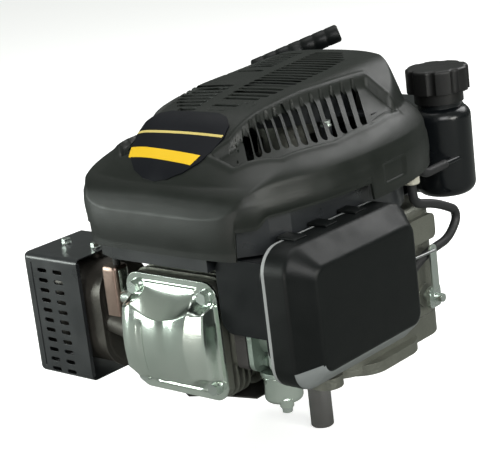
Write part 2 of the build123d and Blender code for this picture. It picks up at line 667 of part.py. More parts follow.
def make_badge():
    """Thin plate on the sloping nose."""
    skin = cover_side(0.9) - cover_side(0)
    right = [(40, -124), (47, -134), (41, -168), (20, -176)]
    left = [(-x, y) for x, y in reversed(right)]
    outline = Polyline(*right, *left, close=True)
    return skin & (Pos(0, 0, 200) * extrude(make_face(outline), 70))


# ---------------------------------------------------------------- blower housing
def blower_outline(inset, right=107):
    """Round over the flywheel, with a nose over the cylinder, cut at right on the intake side."""
    nose = [(min(x, right) - inset, max(y, -184 + inset)) for x, y in BLOWER_NOSE]
    left = [(-x + inset, max(y, -184 + inset)) for x, y in reversed(BLOWER_NOSE)]
    return make_face(Polyline(*nose, *left, close=True)) + Circle(BLOWER_R - inset)


BLOWER_NOSE = [(60, -184), (80, -177), (100, -156), (107, -136), (107, -30)]
STEP_Z = 151.5  # the floor steps up over the air cleaner


def make_blower_housing():
    left = Pos(-100, -100) * Rectangle(200, 200)
    low = (blower_outline(0) & left) + blower_outline(0, 52)
    low_inner = (blower_outline(2.5) & left) + blower_outline(2.5, 52)
    body = Pos(0, 0, BLOWER_Z0) * extrude(low, STEP_Z - BLOWER_Z0)
    body += Pos(0, 0, STEP_Z) * extrude(blower_outline(0), BLOWER_Z1 - STEP_Z)
    body -= Pos(0, 0, BLOWER_Z0 + 3) * extrude(low_inner, 60)
    body -= Pos(0, 0, STEP_Z + 2.5) * extrude(blower_outline(2.5), 60)
    for x, y in starter_leg_places():
        boss = rod_z(x, y, BLOWER_Z0, BLOWER_Z1, 5)
        body += boss & rod_z(0, 0, 100, 200, BLOWER_R)
        body -= rod_z(x, y, 170, 200, 2.5)
    body -= rod_z(0, 0, BLOWER_Z0 - 1, 150, 30)
    body -= rod_z(-82, -160.4, BLOWER_Z0 - 1, 150, 5)
    for x, y in blower_posts():
        body -= rod_z(x, y, BLOWER_Z0 - 1, 150, 3)
    for x in (-20, 20):
        body += rod_z(x, -99, BLOWER_Z0 + 2, 156, 5) - rod_z(x, -99, 150, 157, 2.2)
    return body


def make_coil():
    core = box(-26, 26, -106, -80, 156, 168) - rod_z(0, 0, 150, 180, 88.5)
    core -= box(-10, 10, -98, -80, 150, 180)
    core += slab_z(0, -112, 150, 178, 28, 26, 4) - box(-40, 40, -100, -80, 140, 156)
    core += rod((-12, -112, 162), (-30, -112, 162), 5.5)
    for x in (-20, 20):
        core -= rod_z(x, -99, 150, 180, 2.3)
    return core - rod((-24, -112, 162), (-31, -112, 162), LEAD_R)


# ---------------------------------------------------------------- spark plug, its cap and lead
def make_spark_plug():
    shell = rod(PLUG_SEAT - PLUG_AXIS * 18, PLUG_SEAT, 6.9)
    plane = Plane(origin=PLUG_SEAT, z_dir=PLUG_AXIS)
    shell += extrude(plane * Circle(9.5), 3)
    shell += extrude(plane.offset(3) * RegularPolygon(8.0, 6, major_radius=False), 9)
    shell += rod(PLUG_SEAT + PLUG_AXIS * 12, PLUG_SEAT + PLUG_AXIS * 32, 5.0, 4.2)
    return shell + rod(PLUG_SEAT + PLUG_AXIS * 30, PLUG_SEAT + PLUG_AXIS * 36, 2.6)


def make_plug_cap():
    """Right-angle cap: a socket over the plug and an upright arm for the lead."""
    mouth = PLUG_SEAT + PLUG_AXIS * 14
    body = rod(mouth, (-82, -160.4, 93.8), 8.5)
    body += slab_z(-82, -160.4, 82, 120, 15, 15, 5)
    body -= rod(mouth - PLUG_AXIS, PLUG_SEAT + PLUG_AXIS * 37, 5.3)
    return body - rod_z(-82, -160.4, 106, 121, LEAD_R)


LEAD = [(-82, -160.4, 106), (-82, -160.4, 162), (-54, -112, 162), (-24.2, -112, 162)]


def make_ignition_lead():
    return routed(LEAD, bend_radii(LEAD), LEAD_R)


# ---------------------------------------------------------------- exhaust
def can_section(x):
    """Plane across the silencer's length, with its long side upright."""
    return Plane(origin=(x, -122, 61), x_dir=(0, 0, 1), z_dir=(1, 0, 0))


def make_muffler():
    outline = SlotOverall(102, 62)
    body = Plane(origin=(-205, -122, 61), x_dir=(0, 0, 1), z_dir=(1, 0, 0)) * extrude(outline, 87)
    body = fillet(body.faces().sort_by(Axis.X)[0].edges() + body.faces().sort_by(Axis.X)[-1].edges(), 5)
    seam = can_section(-121) * extrude(SlotOverall(105, 65), 2.5)
    core = can_section(-203.5) * extrude(SlotOverall(99, 59), 84)
    body = body + seam - core
    body += rod((-64, PORT_Y, EXHAUST_Z), (-119, -140, EXHAUST_Z), 11)
    body += slab_x(PORT_Y, EXHAUST_Z, -66, -61, 24, 46, 8)
    body -= rod((-60, PORT_Y, EXHAUST_Z), (-121, -140, EXHAUST_Z), 9.5)
    for y, z in exhaust_stud_places():
        body -= rod((-70, y, z), (-60, y, z), 3.3)
    for x in (-190, -150):
        body += rod_z(x, -122, 110, GUARD_Z1 - GUARD_T, 6) - rod_z(x, -122, 113, 125, 2.5)
    return body


def make_exhaust_gasket():
    plate = slab_x(PORT_Y, EXHAUST_Z, -61, -60, 24, 46, 8)
    plate -= rod((-58, PORT_Y, EXHAUST_Z), (-63, PORT_Y, EXHAUST_Z), 11)
    for y, z in exhaust_stud_places():
        plate -= rod((-58, y, z), (-63, y, z), 3.3)
    return plate


def make_muffler_guard():
    """Folded sheet box, open towards the engine and the rear, with slots in its front face."""
    outer = box(GUARD_X0, GUARD_X1, GUARD_Y0, GUARD_Y1, GUARD_Z0, GUARD_Z1)
    outer = fillet(outer.edges().filter_by(Axis.Z).group_by(Axis.Y)[0].sort_by(Axis.X)[0], 8)
    outer = fillet(outer.edges().filter_by(Axis.X).group_by(Axis.Y)[0], 5)
    t = GUARD_T
    inner = box(GUARD_X0 + t, GUARD_X1 + 5, GUARD_Y0 + t, GUARD_Y1 + 5, GUARD_Z0 + t, GUARD_Z1 - t)
    inner = fillet(inner.edges().filter_by(Axis.Z).group_by(Axis.Y)[0].sort_by(Axis.X)[0], 8 - t)
    body = outer - fillet(inner.edges().filter_by(Axis.X).group_by(Axis.Y)[0], 5 - t)
    body += box(GUARD_X1 - 3, GUARD_X1, GUARD_Y0 - 0, GUARD_Y0 + 4, GUARD_Z0 + 4, GUARD_Z1 - 4)
    for column in (-187, -166):
        for k in range(11):
            body -= slab_y(column, 6 + 9.9 * k, GUARD_Y0 - 1, GUARD_Y0 + 3, 12.5, 4, 1.9)
    body -= slab_y(-201, 60, GUARD_Y0 - 1, GUARD_Y0 + 0.7, 1.6, 104, 0.7)
    for x in (-190, -150):
        body -= rod_z(x, -122, 110, 125, 3)
    return body


# ---------------------------------------------------------------- carburettor
def make_insulator():
    block = slab_x(PORT_Y, CYL_Z, 60, 72, 30, 50, 6) + slab_x(CARB_Y, CYL_Z, 66, 74, 34, 50, 6)
    block -= rod((59, PORT_Y, CYL_Z), (75, CARB_Y, CYL_Z), 10)
    for y, z in intake_stud_places():
        block -= rod((59, y, z), (76, y, z), 3.3)
    return block


def make_carburettor():
    body = rod((CARB_X0, CARB_Y, CYL_Z), (CARB_X1, CARB_Y, CYL_Z), 13.5)
    body += slab_x(CARB_Y - 3, CYL_Z, CARB_X0, CARB_X0 + 5, 40, 52, 9)
    body += slab_x(CARB_Y, CYL_Z, CARB_X1 - 4, CARB_X1, 36, 36, 10)
    body += rod_z(INLET_X, CARB_Y, BOWL_Z1, 68, 9.2)
    body += rod_z(BOWL_X, CARB_Y, BOWL_Z1, BOWL_Z1 + 4, 18)
    body += rod((INLET_X, CARB_Y + 6, 56), (INLET_X, CARB_Y + 26, 56), 3.4)
    body += rod_z(THROTTLE_X, CARB_Y, 70, 97, 3.6)
    body += rod((CHOKE_X, CARB_Y - 19, CYL_Z), (CHOKE_X, CARB_Y + 14, CYL_Z), 4.5)
    body -= rod((CARB_X0 - 1, CARB_Y, CYL_Z), (CARB_X1 + 1, CARB_Y, CYL_Z), 10)
    body -= rod_z(THROTTLE_X, CARB_Y, 56, 98, 2.05)
    body -= rod((CHOKE_X, CARB_Y - 20, CYL_Z), (CHOKE_X, CARB_Y + 12.5, CYL_Z), 2.05)
    for y, z in intake_stud_places():
        body -= rod((CARB_X0 - 1, y, z), (CARB_X0 + 6, y, z), 3.3)
    return body


def make_float_bowl():
    body = rod_z(BOWL_X, CARB_Y, 19, BOWL_Z1, 16.5)
    body = fillet(body.edges().group_by(Axis.Z)[0], 4)
    body += rod_z(BOWL_X, CARB_Y, BOWL_Z1 - 2, BOWL_Z1, 18)
    body += rod_z(*DRAIN, 17, 24, 6)
    body -= rod_z(BOWL_X, CARB_Y, 21, BOWL_Z1 + 1, 15)
    return body - rod_z(BOWL_X, CARB_Y, 10, 30, 2.4) - rod_z(*DRAIN, 10, 30, 2.4)


def lever(length, slot):
    """Flat lever 8 mm wide, turned about the origin, with a slot or a hole at its end."""
    blade = Pos(length / 2, 0) * SlotCenterToCenter(length, 8)
    end = Pos(length, 0) * (SlotCenterToCenter(slot, 3.6) if slot else Circle(1.6))
    return extrude(blade - end, 1.6)


def make_throttle_lever():
    """Throttle shaft, its disc in the bore and the lever above the carburettor."""
    body = Pos(THROTTLE_X, CARB_Y, 99.6) * lever(LINK_X - THROTTLE_X, 3)
    body += rod_z(THROTTLE_X, CARB_Y, 60, 101, 2)
    return body + rod((THROTTLE_X, CARB_Y - 0.7, CYL_Z), (THROTTLE_X, CARB_Y + 0.7, CYL_Z), 7)


def make_choke_lever():
    """Choke shaft across the bore, its disc, and a lever at the front that hangs down."""
    front = CARB_Y - 22
    plane = Plane(origin=(CHOKE_X, front, CYL_Z), x_dir=(0, 0, -1), z_dir=(0, -1, 0))
    body = plane * lever(15, 0)
    body += rod((CHOKE_X, front - 1.6, CYL_Z), (CHOKE_X, CARB_Y + 12, CYL_Z), 2)
    return body + rod_z(CHOKE_X, CARB_Y, CYL_Z - 0.6, CYL_Z + 0.6, 6.3)


# ---------------------------------------------------------------- governor
def make_governor_arm():
    """Cross shaft, clamp and the tall flat arm, with a paddle inside the crankcase."""
    body = rod((78, GOV_Y, GOV_Z), (112, GOV_Y, GOV_Z), 4)
    body += slab_x(GOV_Y, GOV_Z, 99, 103, 18, 20, 4)
    blade = SlotCenterToCenter(GOV_ARM, 10)
    plane = Plane(origin=(103, GOV_Y, GOV_Z + GOV_ARM / 2), x_dir=(0, 0, 1), z_dir=(1, 0, 0))
    body += extrude(plane * blade, 2)
    body += box(78, 80.5, GOV_Y - 4, GOV_Y + 4, GOV_Z - 2, GOV_Z + 16)
    return body - rod((90, GOV_Y, GOV_Z + GOV_ARM), (110, GOV_Y, GOV_Z + GOV_ARM), 1.3)


def make_governor_link():
    """Thin rod from the arm's top to the slot in the throttle lever."""
    top = GOV_Z + GOV_ARM
    points = [(101.5, GOV_Y, top), (107.5, GOV_Y, top), (LINK_X, CARB_Y, 97), (LINK_X, CARB_Y, 104)]
    return routed(points, [2.0, 2.0], 1.2)


# ---------------------------------------------------------------- air cleaner
def make_air_cleaner_body():
    """Box beside the shroud, open underneath, with the plate that seals against the cover."""
    body = slab_y(84, 117, AIR_Y0, AIR_Y1, 58, 66, 12)
    body -= slab_y(84.5, 114, AIR_Y0 + 2.5, AIR_Y1 - 2.5, 54, 66, 10)
    body -= box(66, 109.6, -173, -46, 70, 107)
    body += slab_x(-112, 108, PLATE_X0, PLATE_X1, 144, 98, 20)
    body -= box(50, 70, -173.5, -128, 70, 106)
    body -= box(54, 91.5, -68.5, -39, 80, 151)
    body -= rod_z(0, 0, 137.5, 152, BLOWER_R + 0.6)
    body -= rod((100, CARB_Y, CYL_Z), (120, CARB_Y, CYL_Z), 12)
    body -= rod((90, CARB_Y, CYL_Z), (PLATE_X0 + 0.2, CARB_Y, CYL_Z), 24)
    body -= box(107, 109.4, CARB_Y - 22, CARB_Y + 22, 95, 106)
    return body - box(98, 109, AIR_Y1 - 7, AIR_Y1 + 5, 80, 105)


def make_air_cleaner_rim():
    ring = slab_x(-110.5, 109.5, PLATE_X1, PLATE_X1 + 3, 151, 107, 24)
    return ring - slab_x(-111, 108, PLATE_X1 - 1, PLATE_X1 + 5, 134, 88, 16)


def air_cover_block(x0, x1, shrink):
    body = slab_x(-110.5, 109.5, x0, x1, 155 - 2 * shrink, 111 - 2 * shrink, 26 - shrink)
    return chamfer(body.faces().sort_by(Axis.X)[-1].edges(), 16, 12)


def make_air_cleaner_cover():
    x0, x1 = PLATE_X1 + 3.4, 157
    body = air_cover_block(x0, x1, 0) - air_cover_block(x0 - 5, x1 - 2.5, 2.5)
    for y in (-150, -110, -70):
        body += box(x0 - 8, x0 + 10, y - 7, y + 7, 165, 167)
    return body


def make_filter_element():
    body = slab_x(-111, 108, PLATE_X1 + 0.3, 146, 128, 82, 14)
    body -= slab_x(-111, 108, PLATE_X1 - 1, 130, 104, 58, 8)
    for k in range(12):
        y = -166 + 10 * k
        body -= box(141, 147, y - 1.5, y + 1.5, 70, 146)
    return body


# ---------------------------------------------------------------- fuel system
def tank_outline(inset):
    width, depth = TANK_X1 - TANK_X0 - 2 * inset, 65 - 2 * inset
    left = Pos((TANK_X0 + TANK_X1) / 2, 157.5) * RectangleRounded(width, depth, 22 - inset)
    return left + Pos(NECK_X, NECK_Y) * Circle(TANK_END_R - inset)


def make_fuel_tank():
    outer = Pos(0, 0, TANK_Z0) * extrude(tank_outline(0), TANK_Z1 - TANK_Z0)
    outer = fillet(outer.edges().group_by(Axis.Z)[0] + outer.edges().group_by(Axis.Z)[-1], 11)
    inner = Pos(0, 0, TANK_Z0 + 3) * extrude(tank_outline(3), TANK_Z1 - TANK_Z0 - 6)
    body = outer - fillet(inner.edges().group_by(Axis.Z)[0] + inner.edges().group_by(Axis.Z)[-1], 8)
    body += rod_z(NECK_X, NECK_Y, TANK_Z1 - 6, 222, NECK_R)
    body -= rod_z(NECK_X, NECK_Y, TANK_Z1 - 15, 223, NECK_R - 3)
    body += rod((90, 136, 157), (90, 106, 157), 3.0) - rod_z(NECK_X, NECK_Y, 140, 180, TANK_END_R - 3)
    return body


def make_fuel_cap():
    outline = Circle(CAP_R)
    for k in range(8):
        a = math.pi * (k + 0.5) / 4
        outline -= Pos(33 * math.cos(a), 33 * math.sin(a)) * Circle(5.5)
    body = extrude(outline, 23)
    body = Pos(NECK_X, NECK_Y, 219.8) * fillet(body.edges().group_by(Axis.Z)[-1], 3)
    body += rod_z(NECK_X, NECK_Y, 209, 221, 23.5)
    body -= rod_z(NECK_X, NECK_Y, 200, 223.8, NECK_R + 0.3)
    return body


def make_fuel_cap_seal():
    ring = rod_z(NECK_X, NECK_Y, 222.1, 223.6, NECK_R - 0.3)
    return ring - rod_z(NECK_X, NECK_Y, 220, 225, NECK_R - 3)


def make_tank_bracket():
    body = box(-30, 30, CASE_Y1 + 6, CASE_Y1 + 8.5, 96, 118.6)
    body += box(-30, 30, CASE_Y1 + 6, 182, 116.1, 118.6)
    for x in (-20, 20):
        body -= rod((x, 90, 104), (x, 110, 104), 3.2)
    return body


def make_fuel_filter():
    body = rod_z(FILTER_X, FILTER_Y, 157, 188, 8)
    body = fillet(body.edges().group_by(Axis.Z)[0] + body.edges().group_by(Axis.Z)[-1], 2)
    return body + rod_z(FILTER_X, FILTER_Y, 153.5, 195, 2.6)


TANK_HOSE = [
    (90, 111.5, 157), (92, 61, 157), (95, 60, 209), (FILTER_X, FILTER_Y, 208),
    (FILTER_X, FILTER_Y, 190),
]


def make_tank_hose():
    points = TANK_HOSE
    hose = routed(points, bend_radii(points), HOSE_R) - rod_z(FILTER_X, FILTER_Y, 150, 195.1, 2.6)
    return hose - rod((90, 136, 157), (90, 105.8, 157), 3.0)


LOOP_X = 96.5  # the loop behind the governor's arm lies in this plane
CARB_HOSE = [
    (FILTER_X, FILTER_Y, 156.8), (FILTER_X, 44, 138), (LOOP_X, 84, 127), (LOOP_X, 119, 110),
    (LOOP_X, 99, 89), (LOOP_X, 55, 85), (LOOP_X, 14, 64), (LOOP_X, -36, 59), (LOOP_X, -82, 56),
    (INLET_X, -123, 56),
]


def make_carburettor_hose():
    points = CARB_HOSE
    hose = routed(points, bend_radii(points), HOSE_R) - rod_z(FILTER_X, FILTER_Y, 150, 160, 2.6)
    return hose - rod((INLET_X, -100, 56), (INLET_X, -125, 56), 3.4)


# ---------------------------------------------------------------- small fittings
def make_flywheel_nut():
    nut = hexagon_nut((0, 0, 186), (0, 0, 1), 22, 9, 8.0)
    return rod_z(0, 0, 184.2, 186, 14) + nut - rod_z(0, 0, 180, 190, 8)


def make_oil_cap():
    """Filler cap with the dipstick in one piece."""
    plane = Plane(origin=OIL_MOUTH + OIL_AXIS * 1.7, z_dir=OIL_AXIS)
    outline = Circle(17)
    for k in range(6):
        outline -= Rot(0, 0, 60 * k) * Pos(19.5, 0) * Circle(5)
    body = extrude(plane * outline, 11)
    body += rod(OIL_MOUTH + OIL_AXIS * 3, OIL_MOUTH - OIL_AXIS * 16, 9.0)
    return body + rod(OIL_MOUTH, OIL_MOUTH - OIL_AXIS * 58, 2.2)


def make_baffle():
    """Sheet under the cylinder that steers the cooling air, drawn to a point at the front."""
    tip = [(20, -160), (-2, -172), (-24, -160)]
    outline = Polyline((-58, -66), (58, -66), (58, -150), *tip, (-58, -150), close=True)
    body = Pos(0, 0, 14) * extrude(make_face(outline), 1.4)
    body += box(-58, 58, -68, -66.2, 14, 34)
    for x in (-40, 40):
        body -= rod((x, -60, 28), (x, -75, 28), 3)
    return body


def make_control_plate():
    """Plated bracket between the crankcase and the carburettor."""
    return box(90, 91.8, -70, -20, 40, 50) + box(70, 91.8, -124, -68, 40, 41.8)


# ---------------------------------------------------------------- groups of like fasteners and seals
def make_m6_bolts():
    """Flange bolts of the sump, the valve cover and the tank bracket."""
    places = [((x, y, 8), (0, 0, -1), 30) for x, y in sump_bolt_places()]
    places += [((x, HEAD_Y0 - 3.3, z), (0, -1, 0), 16) for x, z in cover_bolt_places()]
    places += [((x, CASE_Y1 + 8.6, 104), (0, 1, 0), 9) for x in (-20, 20)]
    return several(*[bolt(at, axis, length, r=2.9) for at, axis, length in places])


def make_m5_bolts():
    """Flange bolts of the blower, starter, coil, guard, baffle and float bowl."""
    up, forward = (0, 0, 1), (0, -1, 0)
    places = [((x, y, BLOWER_Z0 + 3.1), up, 14) for x, y in blower_posts()]
    places += [((x, y, 231.1), up, 54) for x, y in starter_leg_places()]
    places += [((x, -99, 168.1), up, 17) for x in (-20, 20)]
    places += [((x, -122, GUARD_Z1 + 0.1), up, 7) for x in (-190, -150)]
    places += [((x, -68.1, 28), forward, 8) for x in (-40, 40)]
    places += [((BOWL_X, CARB_Y, 18.9), (0, 0, -1), 8), ((*DRAIN, 16.9), (0, 0, -1), 6)]
    return several(*[bolt(at, axis, length, r=2.1, across=8, head=3.5) for at, axis, length in places])


def make_stud_nuts():
    """Studs and nuts that hold the muffler and the carburettor."""
    parts = []
    for y, z in exhaust_stud_places():
        nut = hexagon_nut((-66.1, y, z), (-1, 0, 0), 10, 5, 2.8)
        parts.append(nut + rod((-72, y, z), (-49, y, z), 2.9))
    for y, z in intake_stud_places():
        start = CARB_X0 + 5.1
        nut = hexagon_nut((start, y, z), (1, 0, 0), 9, 4, 2.8)
        parts.append(nut + rod((49, y, z), (start + 4, y, z), 2.9))
    return several(*parts)


def make_gaskets():
    return several(make_case_gasket(), make_head_gasket(), make_cover_gasket(), make_exhaust_gasket())


# ---------------------------------------------------------------- all the parts, one file each
def make_all():
    pinion, cam_wheel = make_gears()
    nodes = {
        "sump": make_sump(),
        "crankcase": make_crankcase(),
        "cylinder_head": make_head(),
        "valve_cover": make_valve_cover(),
        "gaskets": make_gaskets(),
        "head_bolts": make_head_bolts(),
        "m6_flange_bolts": make_m6_bolts(),
        "m5_flange_bolts": make_m5_bolts(),
        "stud_nuts": make_stud_nuts(),
        "crankshaft": make_crankshaft() + pinion,
        "camshaft": make_camshaft() + cam_wheel,
        "piston": make_piston(),
        "piston_rings": make_piston_rings(),
        "wrist_pin": make_wrist_pin(),
        "connecting_rod": make_connecting_rod(),
        "intake_valve": make_valve(VALVE_DZ),
        "exhaust_valve": make_valve(-VALVE_DZ),
        "valve_springs": several(make_valve_spring(VALVE_DZ), make_valve_spring(-VALVE_DZ)),
        "intake_rocker": make_rocker(VALVE_DZ),
        "exhaust_rocker": make_rocker(-VALVE_DZ),
        "intake_pushrod": make_pushrod(VALVE_DZ),
        "exhaust_pushrod": make_pushrod(-VALVE_DZ),
        "flywheel": make_flywheel(),
        "cooling_fan": make_fan(),
        "flywheel_nut": make_flywheel_nut(),
        "starter_housing": make_starter_housing(),
        "starter_pulley": make_pulley(),
        "recoil_spring": make_recoil_spring(),
        "starter_rope": make_rope(),
        "starter_grip": make_grip(),
        "engine_cover": make_cover(),
        "cover_badge": make_badge(),
        "blower_housing": make_blower_housing(),
        "ignition_coil": make_coil(),
        "spark_plug": make_spark_plug(),
        "plug_cap": make_plug_cap(),
        "ignition_lead": make_ignition_lead(),
        "muffler": make_muffler(),
        "muffler_guard": make_muffler_guard(),
        "carburettor_insulator": make_insulator(),
        "carburettor": make_carburettor(),
        "float_bowl": make_float_bowl(),
        "throttle_lever": make_throttle_lever(),
        "choke_lever": make_choke_lever(),
        "governor_arm": make_governor_arm(),
        "governor_link": make_governor_link(),
        "air_cleaner_body": make_air_cleaner_body(),
        "air_cleaner_rim": make_air_cleaner_rim(),
        "air_cleaner_cover": make_air_cleaner_cover(),
        "filter_element": make_filter_element(),
        "fuel_tank": make_fuel_tank(),
        "fuel_cap": make_fuel_cap(),
        "fuel_cap_seal": make_fuel_cap_seal(),
        "tank_bracket": make_tank_bracket(),
        "fuel_filter": make_fuel_filter(),
        "fuel_hoses": several(make_tank_hose(), make_carburettor_hose()),
        "oil_cap": make_oil_cap(),
        "baffle": make_baffle(),
        "control_plate": make_control_plate(),
    }
    return nodes


def print_route(name, points, r):
    """Length and tightest bend of a hose or lead, and its volume against section times length."""
    radii = bend_radii(points)
    length = FilletPolyline(*points, radius=radii).length
    ratio = routed(points, radii, r).volume / (math.pi * r * r * length)
    print(f"{name}: length {length:.0f}, tightest bend {min(radii):.1f}, volume ratio {ratio:.3f}")


os.makedirs("parts", exist_ok=True)
for name, solid in make_all().items():
    export_step(solid, f"parts/{name}.step")
print_route("ignition lead", LEAD, LEAD_R)
print_route("tank hose", TANK_HOSE, HOSE_R)
print_route("carburettor hose", CARB_HOSE, HOSE_R)
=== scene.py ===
import math

import bmesh
import bpy
import numpy as np
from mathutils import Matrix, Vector


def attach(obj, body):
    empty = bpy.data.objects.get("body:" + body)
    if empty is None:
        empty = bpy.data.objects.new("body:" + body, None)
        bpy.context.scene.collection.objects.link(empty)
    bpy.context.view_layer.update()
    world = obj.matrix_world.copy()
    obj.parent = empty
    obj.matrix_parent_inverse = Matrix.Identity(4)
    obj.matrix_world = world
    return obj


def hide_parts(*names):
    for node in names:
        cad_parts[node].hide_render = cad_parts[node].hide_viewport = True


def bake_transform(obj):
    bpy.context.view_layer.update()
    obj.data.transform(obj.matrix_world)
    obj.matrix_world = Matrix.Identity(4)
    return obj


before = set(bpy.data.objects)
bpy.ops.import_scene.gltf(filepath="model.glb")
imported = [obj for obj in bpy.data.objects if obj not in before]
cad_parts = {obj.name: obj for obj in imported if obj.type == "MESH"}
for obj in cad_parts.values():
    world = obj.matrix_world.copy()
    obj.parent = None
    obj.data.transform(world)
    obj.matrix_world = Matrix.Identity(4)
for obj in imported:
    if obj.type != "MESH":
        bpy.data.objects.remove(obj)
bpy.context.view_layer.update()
MM = 0.001
FLOOR_Z = -0.0803          # metres, just under the shaft's end
ROPE_DIRECTION = Vector((-0.69, 0.605, 0.39)).normalized()
GRIP_AT_REST = Vector((-85, 119, 267))


# ---------------------------------------------------------------- camera, floor and light
def make_camera():
    az, el, roll = math.radians(42.5), math.radians(15.6), math.radians(-6.9)
    back = Vector((math.sin(az) * math.cos(el), -math.cos(az) * math.cos(el), math.sin(el)))
    right = Vector((math.cos(az), math.sin(az), 0))
    up = back.cross(right)
    across = math.cos(roll) * right + math.sin(roll) * up
    upward = -math.sin(roll) * right + math.cos(roll) * up
    data = bpy.data.cameras.new("camera")
    data.lens = 114
    data.sensor_width = 36
    data.clip_end = 50
    obj = bpy.data.objects.new("camera", data)
    bpy.context.scene.collection.objects.link(obj)
    m = obj.matrix_world
    for i, axis in enumerate((across, upward, back)):
        for k in range(3):
            m[k][i] = axis[k]
    m.translation = Vector((0.9236, -1.0771, 0.5227))
    obj.matrix_world = m
    bpy.context.scene.camera = obj


def area_light(name, at, target, size, power, colour=(1, 1, 1), size_y=None):
    data = bpy.data.lights.new(name, "AREA")
    data.shape = "RECTANGLE"
    data.size = size
    data.size_y = size_y or size
    data.energy = power
    data.color = colour
    obj = bpy.data.objects.new(name, data)
    bpy.context.scene.collection.objects.link(obj)
    obj.location = at
    obj.rotation_euler = (Vector(target) - Vector(at)).to_track_quat("-Z", "Y").to_euler()


def make_world():
    world = bpy.data.worlds.new("studio")
    bpy.context.scene.world = world
    world.use_nodes = True
    tree = world.node_tree
    tree.nodes.clear()
    n, link = tree.nodes.new, tree.links.new
    coord, split, ramp = n("ShaderNodeTexCoord"), n("ShaderNodeSeparateXYZ"), n("ShaderNodeValToRGB")
    ramp.color_ramp.elements[0].position = 0.3
    ramp.color_ramp.elements[0].color = (0.07, 0.075, 0.072, 1)
    ramp.color_ramp.elements[1].position = 0.95
    ramp.color_ramp.elements[1].color = (0.32, 0.34, 0.31, 1)
    middle = ramp.color_ramp.elements.new(0.55)
    middle.color = (0.09, 0.10, 0.095, 1)
    remap = n("ShaderNodeMapRange")
    remap.inputs["From Min"].default_value = -1
    soft, plain, path, mix, out = (
        n("ShaderNodeBackground"), n("ShaderNodeBackground"), n("ShaderNodeLightPath"),
        n("ShaderNodeMixShader"), n("ShaderNodeOutputWorld"))
    plain.inputs["Color"].default_value = (1, 1, 1, 1)
    link(coord.outputs["Generated"], split.inputs[0])
    link(split.outputs["Z"], remap.inputs["Value"])
    link(remap.outputs[0], ramp.inputs["Fac"])
    link(ramp.outputs["Color"], soft.inputs["Color"])
    link(path.outputs["Is Camera Ray"], mix.inputs["Fac"])
    link(soft.outputs[0], mix.inputs[1])
    link(plain.outputs[0], mix.inputs[2])
    link(mix.outputs[0], out.inputs["Surface"])


def make_floor():
    """Pale round floor, which gives back less light to the object than it shows."""
    bm = bmesh.new()
    bmesh.ops.create_circle(bm, cap_ends=True, segments=96, radius=9)
    mesh = bpy.data.meshes.new("floor")
    bm.to_mesh(mesh)
    bm.free()
    floor = bpy.data.objects.new("floor", mesh)
    bpy.context.scene.collection.objects.link(floor)
    floor.location = (0, 0, FLOOR_Z)
    mat = bpy.data.materials.new("floor")
    mat.use_nodes = True
    tree = mat.node_tree
    shader = tree.nodes["Principled BSDF"]
    shader.inputs["Roughness"].default_value = 0.9
    shader.inputs["Specular IOR Level"].default_value = 0.1
    path, mix, glow = (tree.nodes.new("ShaderNodeLightPath"), tree.nodes.new("ShaderNodeMix"),
                       tree.nodes.new("ShaderNodeMath"))
    glow.operation = "MULTIPLY"
    glow.inputs[1].default_value = 0.55
    shader.inputs["Emission Color"].default_value = (1, 1, 1, 1)
    tree.links.new(path.outputs["Is Camera Ray"], glow.inputs[0])
    tree.links.new(glow.outputs[0], shader.inputs["Emission Strength"])
    mix.data_type = "RGBA"
    mix.inputs["A"].default_value = (0.25, 0.26, 0.25, 1)
    mix.inputs["B"].default_value = (0.97, 0.97, 0.97, 1)
    tree.links.new(path.outputs["Is Camera Ray"], mix.inputs["Factor"])
    tree.links.new(mix.outputs["Result"], shader.inputs["Base Color"])
    mesh.materials.append(mat)


make_camera()
make_world()
make_floor()
area_light("key", (1.7, -1.25, 1.25), (0, -0.05, 0.12), 1.3, 30, size_y=1.0)
area_light("side", (2.3, -0.1, 0.75), (0.05, -0.05, 0.15), 0.9, 26, (1.0, 1.0, 0.94), 0.7)
area_light("top", (-0.3, 0.3, 2.2), (0, 0, 0.1), 1.8, 20)
area_light("left", (-1.9, -1.6, 0.35), (0, -0.1, 0.1), 1.1, 34, (0.93, 1.0, 0.95), 0.8)
area_light("back", (0.4, 1.8, 1.5), (0, 0, 0.15), 1.2, 20)
area_light("low", (0.1, -2.0, 0.12), (0, -0.18, 0.07), 0.5, 7, (1.0, 0.97, 0.93), 0.35)
bpy.context.scene.view_settings.view_transform = "Standard"


